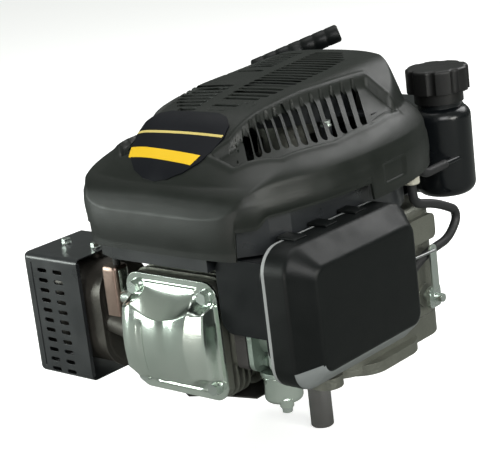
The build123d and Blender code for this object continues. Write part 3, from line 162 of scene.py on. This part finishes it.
# ---------------------------------------------------------------- materials
def material(name, colour, rough, metallic=0.0, grain=700, depth=0.05, mottle=0.12, patch=35,
             rounding=0.6, specular=0.5, coat=0.0, second=None, spread=0.08):
    """Noise drives the colour's patches, the roughness and a fine bump over softly rounded edges."""
    mat = bpy.data.materials.new(name)
    mat.use_nodes = True
    tree = mat.node_tree
    n, link = tree.nodes.new, tree.links.new
    shader = tree.nodes["Principled BSDF"]
    shader.inputs["Metallic"].default_value = metallic
    shader.inputs["Specular IOR Level"].default_value = specular
    shader.inputs["Coat Weight"].default_value = coat
    shader.inputs["Coat Roughness"].default_value = 0.15
    coord, fine, broad = n("ShaderNodeTexCoord"), n("ShaderNodeTexNoise"), n("ShaderNodeTexNoise")
    fine.inputs["Scale"].default_value = grain
    fine.inputs["Detail"].default_value = 3
    broad.inputs["Scale"].default_value = patch
    broad.inputs["Detail"].default_value = 4
    blend, spread_map, bump, bevel = (n("ShaderNodeMix"), n("ShaderNodeMapRange"),
                                      n("ShaderNodeBump"), n("ShaderNodeBevel"))
    blend.data_type = "RGBA"
    dark = [c * (1 - mottle) for c in colour]
    light = [min(c * (1 + mottle), 1) for c in (second or colour)]
    blend.inputs["A"].default_value = (*dark, 1)
    blend.inputs["B"].default_value = (*light, 1)
    spread_map.inputs["From Min"].default_value = 0.3
    spread_map.inputs["From Max"].default_value = 0.7
    spread_map.inputs["To Min"].default_value = rough - spread
    spread_map.inputs["To Max"].default_value = rough + spread
    bump.inputs["Strength"].default_value = depth * 4
    bump.inputs["Distance"].default_value = 0.0004
    bevel.samples = 4
    bevel.inputs["Radius"].default_value = rounding * MM
    for texture in (fine, broad):
        link(coord.outputs["Object"], texture.inputs["Vector"])
    link(broad.outputs["Fac"], blend.inputs["Factor"])
    link(blend.outputs["Result"], shader.inputs["Base Color"])
    link(broad.outputs["Fac"], spread_map.inputs["Value"])
    link(spread_map.outputs["Result"], shader.inputs["Roughness"])
    link(fine.outputs["Fac"], bump.inputs["Height"])
    if rounding:
        link(bevel.outputs["Normal"], bump.inputs["Normal"])
    link(bump.outputs["Normal"], shader.inputs["Normal"])
    return mat


COVER = material("cover_plastic", (0.008, 0.010, 0.008), 0.40, grain=1500, depth=0.10, mottle=0.10,
                 rounding=0, specular=0.36)
BLACK = material("black_plastic", (0.003, 0.004, 0.004), 0.42, grain=1300, depth=0.08, specular=0.22)
GLOSSY = material("tank_plastic", (0.004, 0.005, 0.006), 0.22, grain=500, depth=0.04, specular=0.4)
CAP = material("cap_plastic", (0.006, 0.006, 0.006), 0.40, grain=900, depth=0.12, specular=0.4)
BOX = material("box_plastic", (0.003, 0.004, 0.005), 0.38, grain=1200, depth=0.06, specular=0.22)
CAST = material("cast_alloy", (0.21, 0.215, 0.185), 0.50, 0.85, grain=420, depth=0.35, mottle=0.2,
                spread=0.12)
CARB = material("carburettor_alloy", (0.40, 0.47, 0.42), 0.40, 0.85, grain=500, depth=0.25, mottle=0.18)
ZINC = material("zinc_plate", (0.66, 0.78, 0.70), 0.20, 1.0, grain=220, depth=0.03, mottle=0.10, patch=20,
                second=(0.80, 0.84, 0.78), spread=0.06)
BOLT = material("bolt_zinc", (0.62, 0.68, 0.64), 0.26, 1.0, grain=600, depth=0.06, rounding=0.4)
STEEL = material("steel", (0.36, 0.37, 0.37), 0.34, 1.0, grain=500, depth=0.08)
SHAFT = material("shaft_steel", (0.46, 0.44, 0.44), 0.24, 1.0, grain=300, depth=0.03, mottle=0.06)
BLACK_STEEL = material("black_steel", (0.018, 0.020, 0.022), 0.34, grain=800, depth=0.06, coat=0.15)
DARK_STEEL = material("dark_steel", (0.045, 0.043, 0.040), 0.46, 0.4, grain=350, depth=0.2, mottle=0.25)
MUFFLER = material("muffler_steel", (0.060, 0.056, 0.050), 0.42, 0.55, grain=260, depth=0.18, mottle=0.3,
                   second=(0.085, 0.078, 0.068))
GREY = material("grey_plastic", (0.30, 0.31, 0.31), 0.42, grain=900, depth=0.05)
IVORY = material("ivory_plastic", (0.52, 0.50, 0.42), 0.38, grain=500, depth=0.04)
RUBBER = material("black_rubber", (0.013, 0.013, 0.014), 0.52, grain=900, depth=0.12)
ROPE = material("rope_fibre", (0.10, 0.10, 0.10), 0.85, grain=1600, depth=0.5)
PAPER = material("filter_paper", (0.50, 0.36, 0.18), 0.85, grain=1100, depth=0.3)
FIBRE = material("seal_fibre", (0.055, 0.052, 0.050), 0.80, grain=1200, depth=0.3)
WHITE = material("plug_white", (0.78, 0.77, 0.73), 0.20, grain=300, depth=0.02, coat=0.4)
BADGE = material("badge_face", (0.003, 0.0035, 0.006), 0.45, grain=500, depth=0.02, rounding=0,
                 specular=0.2)
YELLOW = material("badge_yellow", (0.80, 0.50, 0.012), 0.35, grain=500, depth=0.02, mottle=0.05,
                  rounding=0)
CREAM = material("badge_line", (0.62, 0.50, 0.16), 0.35, grain=500, depth=0.02, mottle=0.05,
                 rounding=0)
SHIELD = material("shield_steel", (0.26, 0.19, 0.16), 0.34, 1.0, grain=300, depth=0.05, mottle=0.15)
# Paler grey painted on the air cleaner lid's lower chamfer: a painted highlight, not a separate plastic.
LOWER_CHAMFER_HIGHLIGHT = material("painted_lower_highlight", (0.20, 0.215, 0.215), 0.45, grain=900, depth=0.05)

SLOTS = {
    "cast_alloy": CAST, "zinc_plate": BOLT, "steel": STEEL, "black_plastic": BLACK,
    "black_steel": BLACK_STEEL, "dark_steel": DARK_STEEL, "grey_plastic": GREY, "ivory_plastic": IVORY,
    "black_rubber": RUBBER, "rope_fibre": ROPE, "filter_paper": PAPER, "seal_fibre": FIBRE,
    "plug_white": WHITE, "badge_face": BADGE,
}
OWN = {
    "muffler": MUFFLER, "fuel_tank": GLOSSY, "fuel_cap": CAP, "air_cleaner_body": BOX,
    "carburettor": CARB, "float_bowl": ZINC, "crankshaft": SHAFT,
}
for node_name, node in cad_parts.items():
    data = node.data
    for i, old in enumerate(list(data.materials)):
        data.materials[i] = OWN.get(node_name) or SLOTS[(old.name if old else "steel").split(".")[0]]


# ---------------------------------------------------------------- mesh helpers, in millimetres
def new_piece(name, points, faces, mat, body="block", slot=None, replaces=(), angle=35, close=True):
    mesh = bpy.data.meshes.new(name)
    mesh.from_pydata([tuple(c * MM for c in p) for p in points], [], faces)
    bm = bmesh.new()
    bm.from_mesh(mesh)
    if close:
        bmesh.ops.remove_doubles(bm, verts=bm.verts, dist=1e-6)
    bmesh.ops.recalc_face_normals(bm, faces=bm.faces)
    bm.to_mesh(mesh)
    bm.free()
    mesh.materials.append(mat)
    obj = bpy.data.objects.new(name, mesh)
    bpy.context.scene.collection.objects.link(obj)
    shade(obj, angle)
    if body:
        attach(obj, body)
    if replaces:
        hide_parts(*replaces)
    return obj


def shade(obj, angle=35):
    obj.data.shade_smooth()
    obj.data.set_sharp_from_angle(angle=math.radians(angle))


def apply_modifiers(obj, angle=35):
    bpy.context.view_layer.update()
    seen = obj.evaluated_get(bpy.context.evaluated_depsgraph_get())
    mesh = bpy.data.meshes.new_from_object(seen)
    obj.modifiers.clear()
    obj.data = mesh
    shade(obj, angle)


def solidify(obj, thickness):
    m = obj.modifiers.new("wall", "SOLIDIFY")
    m.thickness = thickness * MM
    m.offset = -1
    m.use_even_offset = False


def ring_faces(rings, n, closed=True):
    """Quads between rows of n points each."""
    faces = []
    last = n if closed else n - 1
    for a in range(rings - 1):
        for b in range(last):
            c = (b + 1) % n
            faces.append((a * n + b, a * n + c, (a + 1) * n + c, (a + 1) * n + b))
    return faces


def loft(rings, cap_first=True, cap_last=True):
    n = len(rings[0])
    faces = ring_faces(len(rings), n)
    if cap_first:
        faces.append(tuple(range(n - 1, -1, -1)))
    if cap_last:
        faces.append(tuple(range((len(rings) - 1) * n, len(rings) * n)))
    return [p for ring in rings for p in ring], faces


def rounded_rectangle(cx, cy, w, h, r, per_corner=10):
    points = []
    r = min(r, w / 2 - 0.01, h / 2 - 0.01)
    for sx, sy, start in ((1, 1, 0), (-1, 1, 90), (-1, -1, 180), (1, -1, 270)):
        for k in range(per_corner + 1):
            a = math.radians(start + 90 * k / per_corner)
            points.append((cx + sx * (w / 2 - r) + r * math.cos(a),
                           cy + sy * (h / 2 - r) + r * math.sin(a)))
    return points


def softened(profile, radius, steps=5):
    """The profile with each inner corner turned into a short curve."""
    out = [profile[0]]
    for before, here, after in zip(profile, profile[1:], profile[2:]):
        p0, p1, p2 = (Vector((*p, 0)) for p in (before, here, after))
        r0 = min(radius, (p0 - p1).length * 0.45)
        r2 = min(radius, (p2 - p1).length * 0.45)
        a, b = p1 + (p0 - p1).normalized() * r0, p1 + (p2 - p1).normalized() * r2
        for k in range(steps + 1):
            t = k / steps
            q = a * (1 - t) ** 2 + p1 * 2 * t * (1 - t) + b * t * t
            out.append((q.x, q.y))
    return out + [profile[-1]]


def lathe(name, at, axis, profile, mat, segments=48, **options):
    """Profile of (distance along axis, radius) turned about the axis through at."""
    axis = Vector(axis).normalized()
    side = axis.orthogonal().normalized()
    other = axis.cross(side)
    rings = []
    for along, r in profile:
        centre = Vector(at) + axis * along
        ring = []
        for k in range(segments):
            a = 2 * math.pi * k / segments
            ring.append(tuple(centre + side * (r * math.cos(a)) + other * (r * math.sin(a))))
        rings.append(ring)
    points, faces = loft(rings)
    return new_piece(name, points, faces, mat, **options)


def smoothstep(a, b, x):
    t = np.clip((x - a) / (b - a), 0, 1)
    return t * t * (3 - 2 * t)


def soft_min(a, b, k):
    h = np.clip(0.5 + 0.5 * (b - a) / k, 0, 1)
    return b * (1 - h) + a * h - k * h * (1 - h)


def cut(obj, outlines, z0, z1):
    """Cuts upright prisms with these plan outlines through obj."""
    points, faces = [], []
    for outline in outlines:
        base = len(points)
        n = len(outline)
        points += [(x, y, z0) for x, y in outline] + [(x, y, z1) for x, y in outline]
        faces += [tuple(base + k for k in range(n - 1, -1, -1)), tuple(base + n + k for k in range(n))]
        faces += [(base + k, base + (k + 1) % n, base + n + (k + 1) % n, base + n + k) for k in range(n)]
    cutter = new_piece("cutter", points, faces, obj.data.materials[0], body=None)
    m = obj.modifiers.new("cut", "BOOLEAN")
    m.operation = "DIFFERENCE"
    m.solver = "FAST"
    m.object = cutter
    apply_modifiers(obj)
    bpy.data.objects.remove(cutter)


def stadium(a, b, width, per_end=7):
    """Plan outline of a slot from a to b with round ends."""
    ax, ay = a
    bx, by = b
    turn = math.atan2(by - ay, bx - ax)
    r = width / 2
    points = []
    for (cx, cy), start in (((bx, by), turn - math.pi / 2), ((ax, ay), turn + math.pi / 2)):
        for k in range(per_end + 1):
            angle = start + math.pi * k / per_end
            points.append((cx + r * math.cos(angle), cy + r * math.sin(angle)))
    return points


# ---------------------------------------------------------------- engine cover
PLAN = [(0, -188), (60, -187.5), (84, -184), (97, -174), (105, -158), (111, -138), (118, -112), (122, -80),
        (124, -45), (123, -10), (119, 22), (111, 50), (98, 78), (80, 98), (52, 112), (20, 119.5)]
CROWN_Y = [-200, -189, -184, -174, -162, -121, -108, -90, -50, 0, 50, 80, 98, 110, 118, 124, 130]
CROWN_Z = [150, 182, 196, 209, 219, 250, 255.5, 258.5, 264, 267.5, 270, 270.5, 267, 259, 246, 225, 190]
LEDGE_Y = [-195, -170, -150, -120, -60, 0, 40, 80, 125]
LEDGE_Z = [196, 207, 214, 220, 226, 230, 232, 234, 232]
RIDGE_X, LEDGE_X = 66.0, 103.0
CENTRE_Y = -38.0
WINDOW = [(38, -149), (50, -135), (56, -112), (61, -61), (66, -22), (71, 27), (98, 33), (104, -14),
          (104, -67), (94, -125), (66, -152)]


def plan_outline(count):
    points = np.array(PLAN + [(-x, y) for x, y in reversed(PLAN[1:])], float)
    for _ in range(3):
        after = np.roll(points, -1, 0)
        points = np.stack([0.75 * points + 0.25 * after, 0.25 * points + 0.75 * after], 1).reshape(-1, 2)
    loop = np.vstack([points, points[:1]])
    run = np.concatenate([[0], np.cumsum(np.hypot(*np.diff(loop, axis=0).T))])
    at = np.linspace(0, run[-1], count, endpoint=False)
    return np.stack([np.interp(at, run, loop[:, 0]), np.interp(at, run, loop[:, 1])], 1)


def cover_height(x, y, edge):
    """Top of the cover over (x, y); edge is the distance to the plan outline."""
    wide = np.abs(x)
    crown = sum(np.interp(y + k, CROWN_Y, CROWN_Z) for k in (-6, -3, 0, 3, 6)) / 5 - 0.0005 * x * x
    ledge = sum(np.interp(y + k, LEDGE_Y, LEDGE_Z) for k in (-8, 0, 8)) / 3
    shoulder = np.maximum(crown - 3, ledge + 1)
    slope = ledge + (LEDGE_X - wide) * (shoulder - ledge) / (LEDGE_X - RIDGE_X)
    skirt = 203 + 32 * (1 - np.exp(-edge / 13)) + 2.5 * np.maximum(edge - 18, 0)
    wall = 160 + 24 * edge
    height = soft_min(crown, slope, 7)
    height = soft_min(height, skirt, 6)
    return soft_min(height, np.maximum(wall, 196 + 3 * edge), 8)


def inside_distance(x, y, polygon):
    """Distance to the polygon's sides, positive inside it."""
    best = np.full(np.shape(x), 1e9)
    inside = np.zeros(np.shape(x), bool)
    for (ax, ay), (bx, by) in zip(polygon, polygon[1:] + polygon[:1]):
        dx, dy = bx - ax, by - ay
        t = np.clip(((x - ax) * dx + (y - ay) * dy) / (dx * dx + dy * dy), 0, 1)
        best = np.minimum(best, np.hypot(x - ax - t * dx, y - ay - t * dy))
        crosses = ((ay > y) != (by > y)) & (x < (bx - ax) * (y - ay) / (by - ay + 1e-9) + ax)
        inside ^= crosses
    return np.where(inside, best, -best)


def lower_edge(x, y):
    """Height of the skirt's lower edge: low over the cylinder head, stepping up beside it."""
    low = 150 + (168 - 150) * smoothstep(-163, -157, y)
    low = np.where(x < -84, np.maximum(low, 168), low)
    low = np.where((x > 84) & (y < -45), 175 + 8 * smoothstep(-170, -160, y), low)
    return np.where((x > 84) & (y >= -45), 168, low)


def grille_point(u, v):
    """Plan point of the top grille, which is turned a little on the cover."""
    turn = math.radians(5)
    c, s = math.cos(turn), math.sin(turn)
    return -7 + u * c - v * s, -101 + u * s + v * c


def make_cover():
    count, radial, down = 420, 118, 26
    rim = plan_outline(count)
    tangent = np.roll(rim, -1, 0) - np.roll(rim, 1, 0)
    normal = np.stack([tangent[:, 1], -tangent[:, 0]], 1)
    normal /= np.linalg.norm(normal, axis=1)[:, None]
    centre = np.array([0, CENTRE_Y])
    reach = np.abs(np.sum((rim - centre) * normal, 1))
    points = []
    for k in range(radial + 1):
        t = 1 - (1 - k / radial) ** 1.15
        t = max(t, 0.004)
        ring = centre + (rim - centre) * t
        x, y = ring[:, 0], ring[:, 1]
        z = cover_height(x, y, reach * (1 - t))
        for side in (1, -1):
            inside = inside_distance(side * x, y, WINDOW)
            z = z - 7.5 * smoothstep(0, 3.0, inside) + 1.3 * np.exp(-((inside + 2.2) / 1.9) ** 2)
        points += list(zip(x, y, z))
    top = np.array(points[-count:])[:, 2]
    bottom = lower_edge(rim[:, 0], rim[:, 1])
    for k in range(1, down + 1):
        t = k / down
        z = top + (bottom - top) * t
        bulge = 0.9 * math.sin(math.pi * min(t * 1.2, 1))
        panel = (smoothstep(-27, -25, rim[:, 1]) * smoothstep(7, 5, rim[:, 1]) * (rim[:, 0] > 0)
                 * smoothstep(177, 179, z) * smoothstep(196, 194, z))
        outward = normal * np.sign(np.sum((rim - centre) * normal, 1))[:, None]
        ring = rim + outward * (bulge - 1.4 * panel)[:, None]
        points += list(zip(ring[:, 0], ring[:, 1], z))
    rows = radial + 1 + down
    faces = ring_faces(rows, count)
    faces.append(tuple(range(count)))
    cover = new_piece("engine_cover_shell", points, faces, COVER, slot="black_plastic",
                      replaces=("engine_cover",), angle=50)
    solidify(cover, 2.4)
    apply_modifiers(cover, 50)
    slots = []
    for k in range(15):
        t = k / 14
        a = (54 + 18 * t, -137 + 90 * t + 56 * t * t)
        b = (61.5 + 62 * t - 26.5 * t * t, -146 + 69 * t + 63 * t * t)
        for side in (1, -1):
            slots.append(stadium((side * a[0], a[1]), (side * b[0], b[1]), 6.2))
    for k in range(22):
        v = -4 + 8 * k
        reach_u = np.interp(v, [-4, 12, 32, 60, 110, 140, 165], [24, 38, 49, 54, 57, 54, 36])
        for side in (1, -1):
            slots.append(stadium(grille_point(side * 8.5, v), grille_point(side * reach_u, v), 5.3))
    for u in (-42, 42):
        slots.append(stadium(grille_point(u - 3, 8), grille_point(u + 3, 8), 8))
    cut(cover, slots, 190, 300)


def surface_patch(name, outline, mat, lift, slot):
    """Thin plate that follows the cover's top inside a plan outline."""
    cx = sum(x for x, y in outline) / len(outline)
    cy = sum(y for x, y in outline) / len(outline)
    rings = []
    steps = 26
    for k in range(steps + 1):
        t = max(k / steps, 0.01)
        x = np.array([cx + (px - cx) * t for px, py in outline])
        y = np.array([cy + (py - cy) * t for px, py in outline])
        edge = np.maximum(np.minimum(124 - np.abs(x), y + 188), 0)
        z = cover_height(x, y, edge) + lift
        rings.append(list(zip(x, y, z)))
    points, faces = loft(rings, True, False)
    patch = new_piece(name, points, faces, mat, slot=slot)
    solidify(patch, 1.2)
    apply_modifiers(patch, 40)
    return patch


def dense(outline, step=2.5):
    out = []
    for (ax, ay), (bx, by) in zip(outline, outline[1:] + outline[:1]):
        n = max(int(math.hypot(bx - ax, by - ay) / step), 1)
        out += [(ax + (bx - ax) * k / n, ay + (by - ay) * k / n) for k in range(n)]
    return out


def make_badge():
    centre = -9
    half = [(0, -112), (28, -112), (40, -116), (49, -124), (51, -135), (47, -147), (40, -157), (28, -166),
            (14, -171), (0, -172.5)]
    outline = [(centre + x, y) for x, y in half] + [(centre - x, y) for x, y in reversed(half[1:-1])]
    badge = surface_patch("badge_panel", dense(outline), BADGE, 1.5, "badge_face")
    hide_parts("cover_badge")
    line = [(centre - 50, -133.2), (centre + 49.5, -133.2), (centre + 49.5, -135.2), (centre - 50, -135.2)]
    surface_patch("badge_stripe", dense(line), CREAM, 1.9, "badge_face")
    band = [(centre - 47.5, -147), (centre + 38, -151.5), (centre + 33, -160), (centre - 44, -155.5)]
    surface_patch("badge_band", dense(band), YELLOW, 1.9, "badge_face")


def make_eyelet():
    """Flanged ring in the cover that the starter rope runs through."""
    mouth = GRIP_AT_REST - ROPE_DIRECTION * 34
    profile = softened([(-9, 15), (-3, 15), (-1, 12), (-1, 5), (-9, 3.6), (-14, 3.6)], 1.2, 3)
    lathe("rope_eyelet", mouth, ROPE_DIRECTION, profile, BLACK, slot="black_plastic")


# ---------------------------------------------------------------- valve cover
def valve_cover_height(x, z):
    """How far the pressed steel stands proud of its plate; x and z are from the bolts' centre."""
    left = smoothstep(-50, -42, x)
    wall = 29 + 7 * (z / 36) ** 2
    right = (1 - 0.22 * np.clip((x - wall) / (45.8 - wall), 0, 1)) * (1 - smoothstep(45.8, 49.5, x))
    crest = 21 + 0.009 * (x - 1) ** 2
    top = (1 - np.clip((z - crest) / (45 - crest), 0, 1)) ** 1.5
    bottom = smoothstep(-44, -33, z)
    dome = left * right * top * bottom
    face = 24.5 - 2.6 * ((x + 2) / 38) ** 2 - 4.5 * ((z + 4) / 34) ** 2
    face = face + 2.2 * np.exp(-((x + 35) / 8) ** 2)
    face = face - 3.0 * np.exp(-((x + 21) / 2.6) ** 2) * smoothstep(20, 12, z)
    face = face - 1.2 * np.exp(-((x - 8) / 6) ** 2)
    corners = [(sx * 40.8, sz * 40.8) for sx in (1, -1) for sz in (1, -1)]
    bolts = np.minimum.reduce([np.hypot(x - a, z - b) for a, b in corners])
    around = np.minimum(47.5 - np.abs(x), 47.5 - np.abs(z))
    raised = smoothstep(0, 2.5, around) * smoothstep(9.5, 12, bolts)
    bead = np.exp(-((z + 45.5) / 1.1) ** 2) * smoothstep(30, 24, np.abs(x))
    return dome * face * smoothstep(8, 13, bolts) + (1.5 * raised + 1.1 * bead) * (1 - dome)


PLATE_Y, CYLINDER_Z = -179.2, 73.6


def make_valve_cover():
    rows = 90
    outline = np.array(dense(rounded_rectangle(0, 0, 106, 106, 14, 12), 1.1))
    points = []
    for k in range(rows + 1):
        t = max(k / rows, 0.01)
        x, z = outline[:, 0] * t, outline[:, 1] * t
        h = valve_cover_height(x, z)
        points += [(a, PLATE_Y - c, CYLINDER_Z + b) for a, b, c in zip(x, z, h)]
    points += [(a, -177.1, CYLINDER_Z + b) for a, b in outline]
    faces = ring_faces(rows + 2, len(outline))
    faces.append(tuple(range(len(outline))))
    return new_piece("valve_cover_pressing", points, faces, ZINC, slot="zinc_plate",
                     replaces=("valve_cover",), angle=60)


# ---------------------------------------------------------------- air cleaner cover
def air_cleaner_outline(inset, per_corner=12):
    width, height = 167 - 2 * inset, 121.6 - 2 * inset
    return rounded_rectangle(-104, 104.2, width, height, max(22 - inset * 0.7, 6), per_corner)


def make_air_cleaner_cover():
    """Deep moulded lid with a flat face and a broad chamfer, which is painted paler along the bottom as a
    highlight.
    """
    profile = softened([(116.4, 0.0), (137.5, 0.0), (156.6, 16.5), (156.9, 46)], 2.8, 6)
    rings = [[(x, y, z) for y, z in air_cleaner_outline(inset)] for x, inset in profile]
    points, faces = loft(rings, False, True)
    shell = new_piece("air_cleaner_shell", points, faces, BLACK, body="air_cleaner_cover",
                      slot="black_plastic", replaces=("air_cleaner_cover",), angle=60)
    solidify(shell, 2.2)
    apply_modifiers(shell, 60)
    # Faces that point down and out get a paler grey: a painted highlight standing in for light reflected
    # from below.
    shell.data.materials.append(LOWER_CHAMFER_HIGHLIGHT)
    for face in shell.data.polygons:
        if face.normal.z < -0.12 and 0.3 < face.normal.x < 0.9:
            face.material_index = 1
    outer, inner = air_cleaner_outline(0.2), air_cleaner_outline(4.5)
    n = len(outer)
    back, front = 113, 116.2
    loops = ((back, outer), (front, outer), (front, inner), (back, inner))
    points = [(x, y, z) for x, loop in loops for y, z in loop]
    faces = ring_faces(4, n) + [(3 * n + k, 3 * n + (k + 1) % n, (k + 1) % n, k) for k in range(n)]
    new_piece("air_cleaner_seat", points, faces, GREY, slot="grey_plastic", replaces=("air_cleaner_rim",))
    for k, y in enumerate((-150, -110, -70)):
        profile = [(108.4, 0.0), (124, 0.0), (128, 0.6)]
        rings = []
        for x, drop in profile:
            outline = rounded_rectangle(y, 165.9 - drop, 15, 2.8 - drop, 1.1, 4)
            rings.append([(x, a, b) for a, b in outline])
        points, faces = loft(rings)
        new_piece(f"air_cleaner_tab_{k + 1}", points, faces, BLACK, body="air_cleaner_cover",
                  slot="black_plastic")


# ---------------------------------------------------------------- plug shield and starter rope
def make_plug_shield():
    """Folded steel sleeve round the plug cap, open at the back, with a foot towards the head."""
    rings = []
    for z, grow in ((77, 0), (80, 0), (119, 0), (121.5, -0.6), (123, -2.2)):
        outline = rounded_rectangle(-84.5, -161.5, 18 + grow, 18 + grow, 3.5, 6)
        rings.append([(x, y, z) for x, y in outline])
    points, faces = loft(rings)
    new_piece("plug_shield", points, faces, SHIELD, slot="steel", angle=40)
    rings = []
    for x in (-78, -76, -62, -58):
        drop = 1.5 if x > -60 else 0
        outline = rounded_rectangle(-162, 80.5 - drop, 12, 2.4, 1.0, 4)
        rings.append([(x, y, z) for y, z in outline])
    points, faces = loft(rings)
    new_piece("plug_shield_foot", points, faces, BOLT, slot="zinc_plate")


HANDLE = GRIP_AT_REST - ROPE_DIRECTION * 14


def make_grip():
    """Ribbed crossbar, tilted a little about the rope, on a tapered stem."""
    level = ROPE_DIRECTION.cross(Vector((0, 0, 1))).normalized()
    turn = math.radians(-18)
    along = level * math.cos(turn) + ROPE_DIRECTION.cross(level) * math.sin(turn)
    end = [(46, 6.5), (45.3, 8.0), (44, 8.9)]
    profile = [(-at, r) for at, r in end]
    for k in range(6):
        at = -32.5 + 13 * k
        profile += [(at - 1.6, 8.9), (at - 1.1, 8.6), (at + 1.1, 8.6), (at + 1.6, 8.9)]
    profile += reversed(end)
    lathe("grip_bar", HANDLE, along, profile, BLACK, body="starter_grip", slot="black_plastic",
          replaces=("starter_grip",))
    stem = softened([(-19.4, 5.6), (-18, 6.4), (-10, 7.4), (-4, 9.5), (2, 8.0)], 2.0, 4)
    lathe("grip_stem", HANDLE, ROPE_DIRECTION, stem, BLACK, body="starter_grip", slot="black_plastic")


def make_rope():
    """Laid rope: three strands twisted about the straight run from the pulley to the grip."""
    start, end = GRIP_AT_REST - ROPE_DIRECTION * 48, HANDLE - ROPE_DIRECTION * 2
    side = ROPE_DIRECTION.orthogonal().normalized()
    other = ROPE_DIRECTION.cross(side)
    steps, around = 90, 8
    points, faces = [], []
    for strand in range(3):
        base = len(points)
        for k in range(steps + 1):
            t = k / steps
            twist = 2 * math.pi * (strand / 3 + t * 5)
            middle = start.lerp(end, t) + (side * math.cos(twist) + other * math.sin(twist)) * 0.95
            for j in range(around):
                a = 2 * math.pi * j / around
                points.append(tuple(middle + (side * math.cos(a) + other * math.sin(a)) * 1.05))
        faces += [tuple(base + i for i in f) for f in ring_faces(steps + 1, around)]
        faces.append(tuple(base + i for i in range(around)))
        faces.append(tuple(base + steps * around + i for i in range(around)))
    rope = new_piece("starter_rope_strands", points, faces, ROPE, body=None, close=False)
    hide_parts("starter_rope")
    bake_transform(rope)


make_cover()
make_badge()
make_eyelet()
make_valve_cover()
make_air_cleaner_cover()
make_plug_shield()
make_grip()
make_rope()
